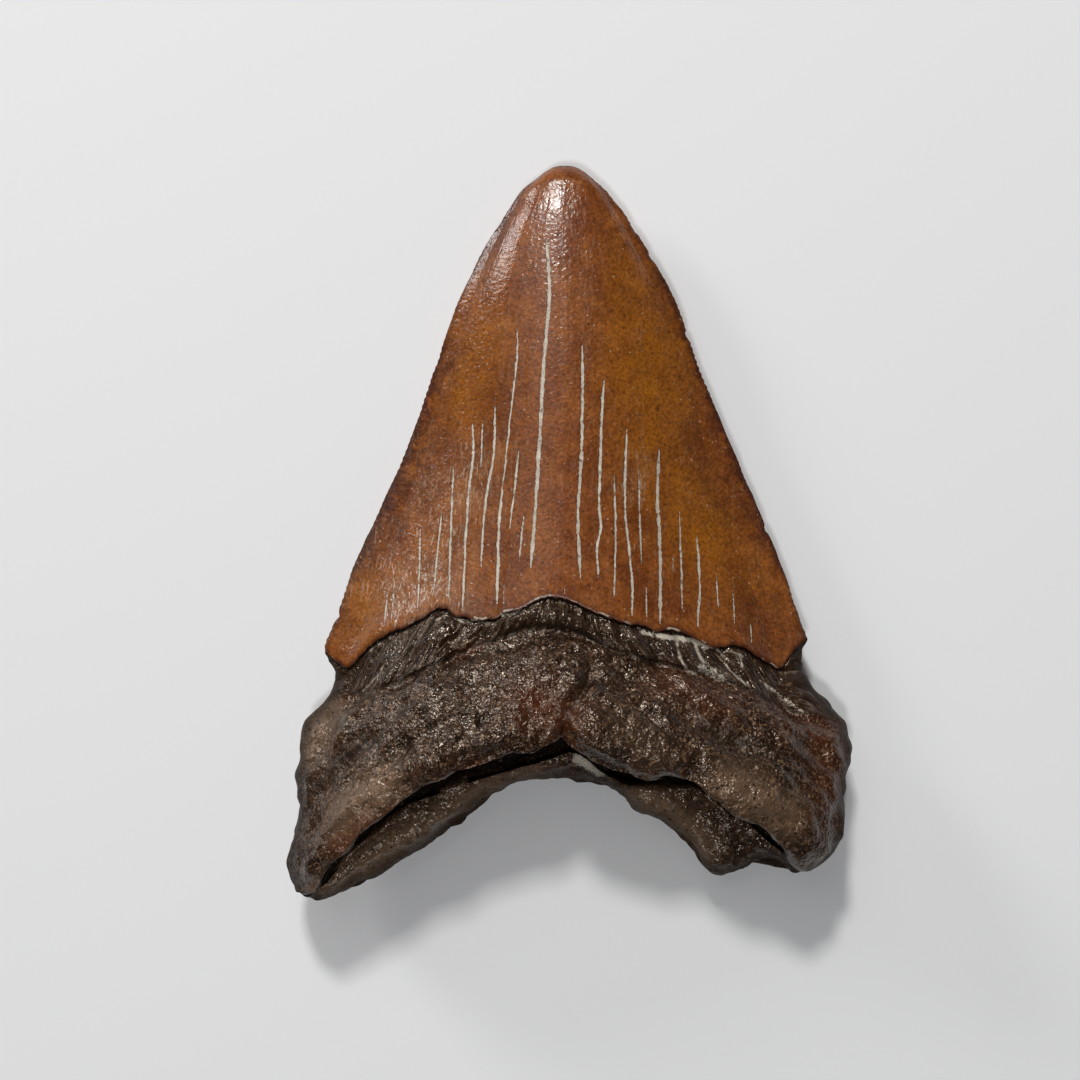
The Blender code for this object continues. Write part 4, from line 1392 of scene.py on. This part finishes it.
@dataclass(frozen=True)
class RootFinish:
    """Dark, grainy fossil bone with pale mineral in its pores, seams and neck, with painted shade in
    its hollows, crevice and rim and painted light on its plates and lobes.
    """

    bark: Colour = shade(44, 28, 18)
    clay: Colour = shade(64, 42, 28)
    soot: Colour = shade(15, 9, 6)
    neck: Colour = shade(48, 32, 21)
    fibre: Colour = shade(152, 126, 100)
    rust: Colour = shade(92, 42, 18)
    dust_and_painted_light: Colour = shade(142, 113, 88)
    mineral: Colour = shade(186, 177, 162)
    glint: Colour = (1.0, 0.86, 0.74)
    roughness: float = 0.23
    variation: float = 0.16
    refraction: float = 1.47

    def material(self) -> bpy.types.Material:
        """Builds the finish."""
        material, nodes = new_material("dark_fossil_bone")
        place = nodes.place()
        # mask of the shade painted into the furrows, the ledge and the groove under the lip
        hollow_shade = nodes.mark(Mark.HOLLOW_SHADE)
        neck = nodes.mark(Mark.NECK)
        depth = nodes.mark(Mark.BORDER_DEPTH)
        along = {0: nodes.mark(Mark.FIBRE), 1: nodes.times(depth, 0.24)}
        splayed = nodes.add("ShaderNodeCombineXYZ", along).outputs[0]
        strand = nodes.effect(Strands, splayed, width=0.6, amount=0.46)
        pore = nodes.effect(Flecks, place, size=0.62, amount=0.5, seed=80.0)
        bare = nodes.math("SUBTRACT", 1.0, nodes.times(neck, 0.8))
        # rim: painted shade that darkens the root towards its side outline and its rear edge
        rim = nodes.rise(nodes.mark(Mark.RIM), 2.8, 0.4)
        pale = self.pale(nodes, place)

        cloud = nodes.effect(Mottle, place, size=5.0, amount=0.5, edge=0.2)
        paint = Paint(nodes, nodes.tinted(cloud, self.bark, self.clay))
        patch = nodes.effect(Mottle, place, size=1.7, amount=0.5, edge=0.12, seed=3.0)
        paint.tint(self.soot, patch, 0.55)
        sandy = nodes.noise(place, 0.5, rough=0.6, twist=1.2)
        paint.darken(nodes.between(sandy, -0.8, 2.6))
        # pale grains, partly real mineral and partly painted glints
        paint.tint(self.dust_and_painted_light, nodes.rise(sandy, 0.54, 0.7), 0.55)
        uneven = nodes.between(nodes.noise(place, 1.6, detail=4.0, rough=0.65), 0.2, 1.5)
        paint.tint(self.rust, nodes.mark(Mark.RUST), uneven, 0.8)
        # painted light on the plates and lobes, in the dust colour
        paint.tint(self.dust_and_painted_light, nodes.mark(Mark.PAINTED_LIGHT), uneven, 0.4)
        paint.tint(self.neck, neck, 0.85)
        patch = nodes.effect(Mottle, place, size=1.1, amount=0.4, edge=0.1, seed=21.0)
        paint.tint(self.soot, patch, neck, 0.6)
        paint.tint(self.fibre, strand, nodes.plus(nodes.times(neck, 0.6), 0.03))
        # painted shade: near-black soot laid into the furrows, the ledge and the groove under the lip
        paint.tint(self.soot, hollow_shade, hollow_shade, 0.95)
        fleck = nodes.effect(Flecks, place, size=0.6, amount=0.4, seed=12.0)
        # pale flecks, partly real mineral and partly painted glints
        paint.tint(self.dust_and_painted_light, fleck, bare, 0.5)
        paint.tint(self.soot, pore, bare, 0.7)
        paint.tint(self.mineral, pale)
        # painted shade in the crevice just below the enamel's border
        crevice_shade = nodes.rise(depth, 0.75, 0.15)
        paint.tint(self.soot, crevice_shade, nodes.math("SUBTRACT", 0.9, pale))
        # painted shade along the outline and the rear edge
        paint.tint(self.soot, rim, 0.6)

        wear = nodes.noise(place, 1.1, detail=4.0)
        low, high = self.roughness - self.variation, self.roughness + self.variation
        matt = nodes.plus(
            nodes.times(nodes.math("MAXIMUM", rim, nodes.times(hollow_shade, hollow_shade)), 0.5),
            nodes.between(wear, low, high),
            nodes.times(neck, -0.08),
            nodes.times(pale, 0.2),
        )
        coarse = nodes.effect(FineRelief, place, size=0.8, depth=0.12)
        fine = nodes.effect(FineRelief, place, size=0.4, depth=0.04)
        rib = nodes.effect(FineRelief, splayed, size=0.95, depth=0.32)
        normal = nodes.bump(
            nodes.times(nodes.plus(coarse, fine), nodes.between(neck, 1.0, 0.7)),
            nodes.times(pore, -0.07, bare),
            nodes.times(nodes.plus(rib, nodes.times(strand, 0.08)), neck),
            nodes.times(pale, 0.05),
        )
        nodes.surface(
            {
                "Base Color": paint.colour,
                "Roughness": matt,
                "Normal": normal,
                "IOR": self.refraction,
                "Specular Tint": self.glint,
            }
        )
        return material

    @staticmethod
    def pale(nodes: Nodes, place: Value) -> Socket:
        """Where pale mineral shows, as thin veins and as ragged crust."""
        away = nodes.mark(Mark.VEIN)
        vein = nodes.effect(Seam, place, distance=away, half=0.02, breaks=0.47, blur=0.1)
        ragged = nodes.between(nodes.noise(place, 0.5, detail=4.0, rough=0.75), -1.3, 3.3)
        crust = nodes.rise(nodes.times(nodes.mark(Mark.CRUST), ragged), 0.4, 0.75)
        return nodes.math("MAXIMUM", nodes.times(vein, 0.85), crust)


@dataclass(frozen=True)
class FloorFinish:
    """Plain pale matt card."""

    card: Colour = shade(241, 243, 246)
    roughness: float = 0.8

    def material(self) -> bpy.types.Material:
        """Builds the finish."""
        material, nodes = new_material("pale_card")
        nodes.surface({"Base Color": self.card, "Roughness": self.roughness})
        return material


@dataclass(frozen=True)
class Lamp:
    """A soft square lamp that hangs at a place and looks at the tooth."""

    name: str
    place: Triple
    size: float
    power: float
    tint: Colour = (1.0, 1.0, 1.0)

    def hang(self) -> None:
        """Adds the lamp to the scene."""
        light = bpy.data.lights.new(self.name, "AREA")
        light.size = self.size * MM
        light.energy = self.power
        light.color = self.tint
        lamp = bpy.data.objects.new(self.name, light)
        lamp.location = Vector(self.place) * MM
        lamp.rotation_euler = Vector(self.place).to_track_quat("Z", "Y").to_euler()
        bpy.context.scene.collection.objects.link(lamp)


@dataclass
class Studio:
    """Pale floor, soft lamps and a camera that looks straight down."""

    floor_size: float = 3000.0
    camera_place: Triple = (-4.17, -1.18, 307.0)
    lens: float = 72.0
    sensor: float = 36.0
    clip_start: float = 10.0
    sky: Colour = (1.0, 0.97, 0.94)
    sky_strength: float = 0.06
    lamps: tuple[Lamp, ...] = (
        Lamp("window", (-320.0, 620.0, 980.0), 800.0, 1.8, (1.0, 0.98, 0.95)),
        Lamp("overhead", (-110.0, -260.0, 1115.0), 120.0, 3.1),
        Lamp("low_window", (-850.0, 690.0, 360.0), 280.0, 3.9, (1.0, 0.98, 0.96)),
        Lamp("spot", (-150.0, 830.0, 920.0), 140.0, 7.6, (1.0, 0.98, 0.95)),
    )

    def build(self) -> None:
        """Adds the floor, the lamps, the sky and the camera."""
        scene = bpy.context.scene
        scene.view_settings.view_transform = "Standard"
        half = self.floor_size / 2 * MM
        corners = [(-half, -half, 0.0), (half, -half, 0.0), (half, half, 0.0), (-half, half, 0.0)]
        mesh = bpy.data.meshes.new("floor")
        mesh.from_pydata(corners, [], [(0, 1, 2, 3)])
        mesh.materials.append(FloorFinish().material())
        floor = bpy.data.objects.new("floor", mesh)
        scene.collection.objects.link(floor)
        for lamp in self.lamps:
            lamp.hang()
        world = bpy.data.worlds.new("soft_sky")
        world.use_nodes = True
        sky = world.node_tree.nodes["Background"]
        sky.inputs["Color"].default_value = (*self.sky, 1.0)
        sky.inputs["Strength"].default_value = self.sky_strength
        scene.world = world
        camera = bpy.data.cameras.new("camera")
        camera.lens = self.lens
        camera.sensor_width = self.sensor
        camera.clip_start = self.clip_start * MM
        view = bpy.data.objects.new("camera", camera)
        view.location = Vector(self.camera_place) * MM
        scene.collection.objects.link(view)
        scene.camera = view


def main() -> None:
    """Builds the studio and the tooth, and reports each piece."""
    logging.basicConfig(level=logging.INFO, format="%(message)s")
    studio = Studio()
    studio.build()
    LOG.info("studio: floor, %d lamps and camera", len(studio.lamps))
    tooth = FossilTooth().build()
    LOG.info("%s: %d faces", tooth.name, len(tooth.data.polygons))


if __name__ == "__main__":
    main()
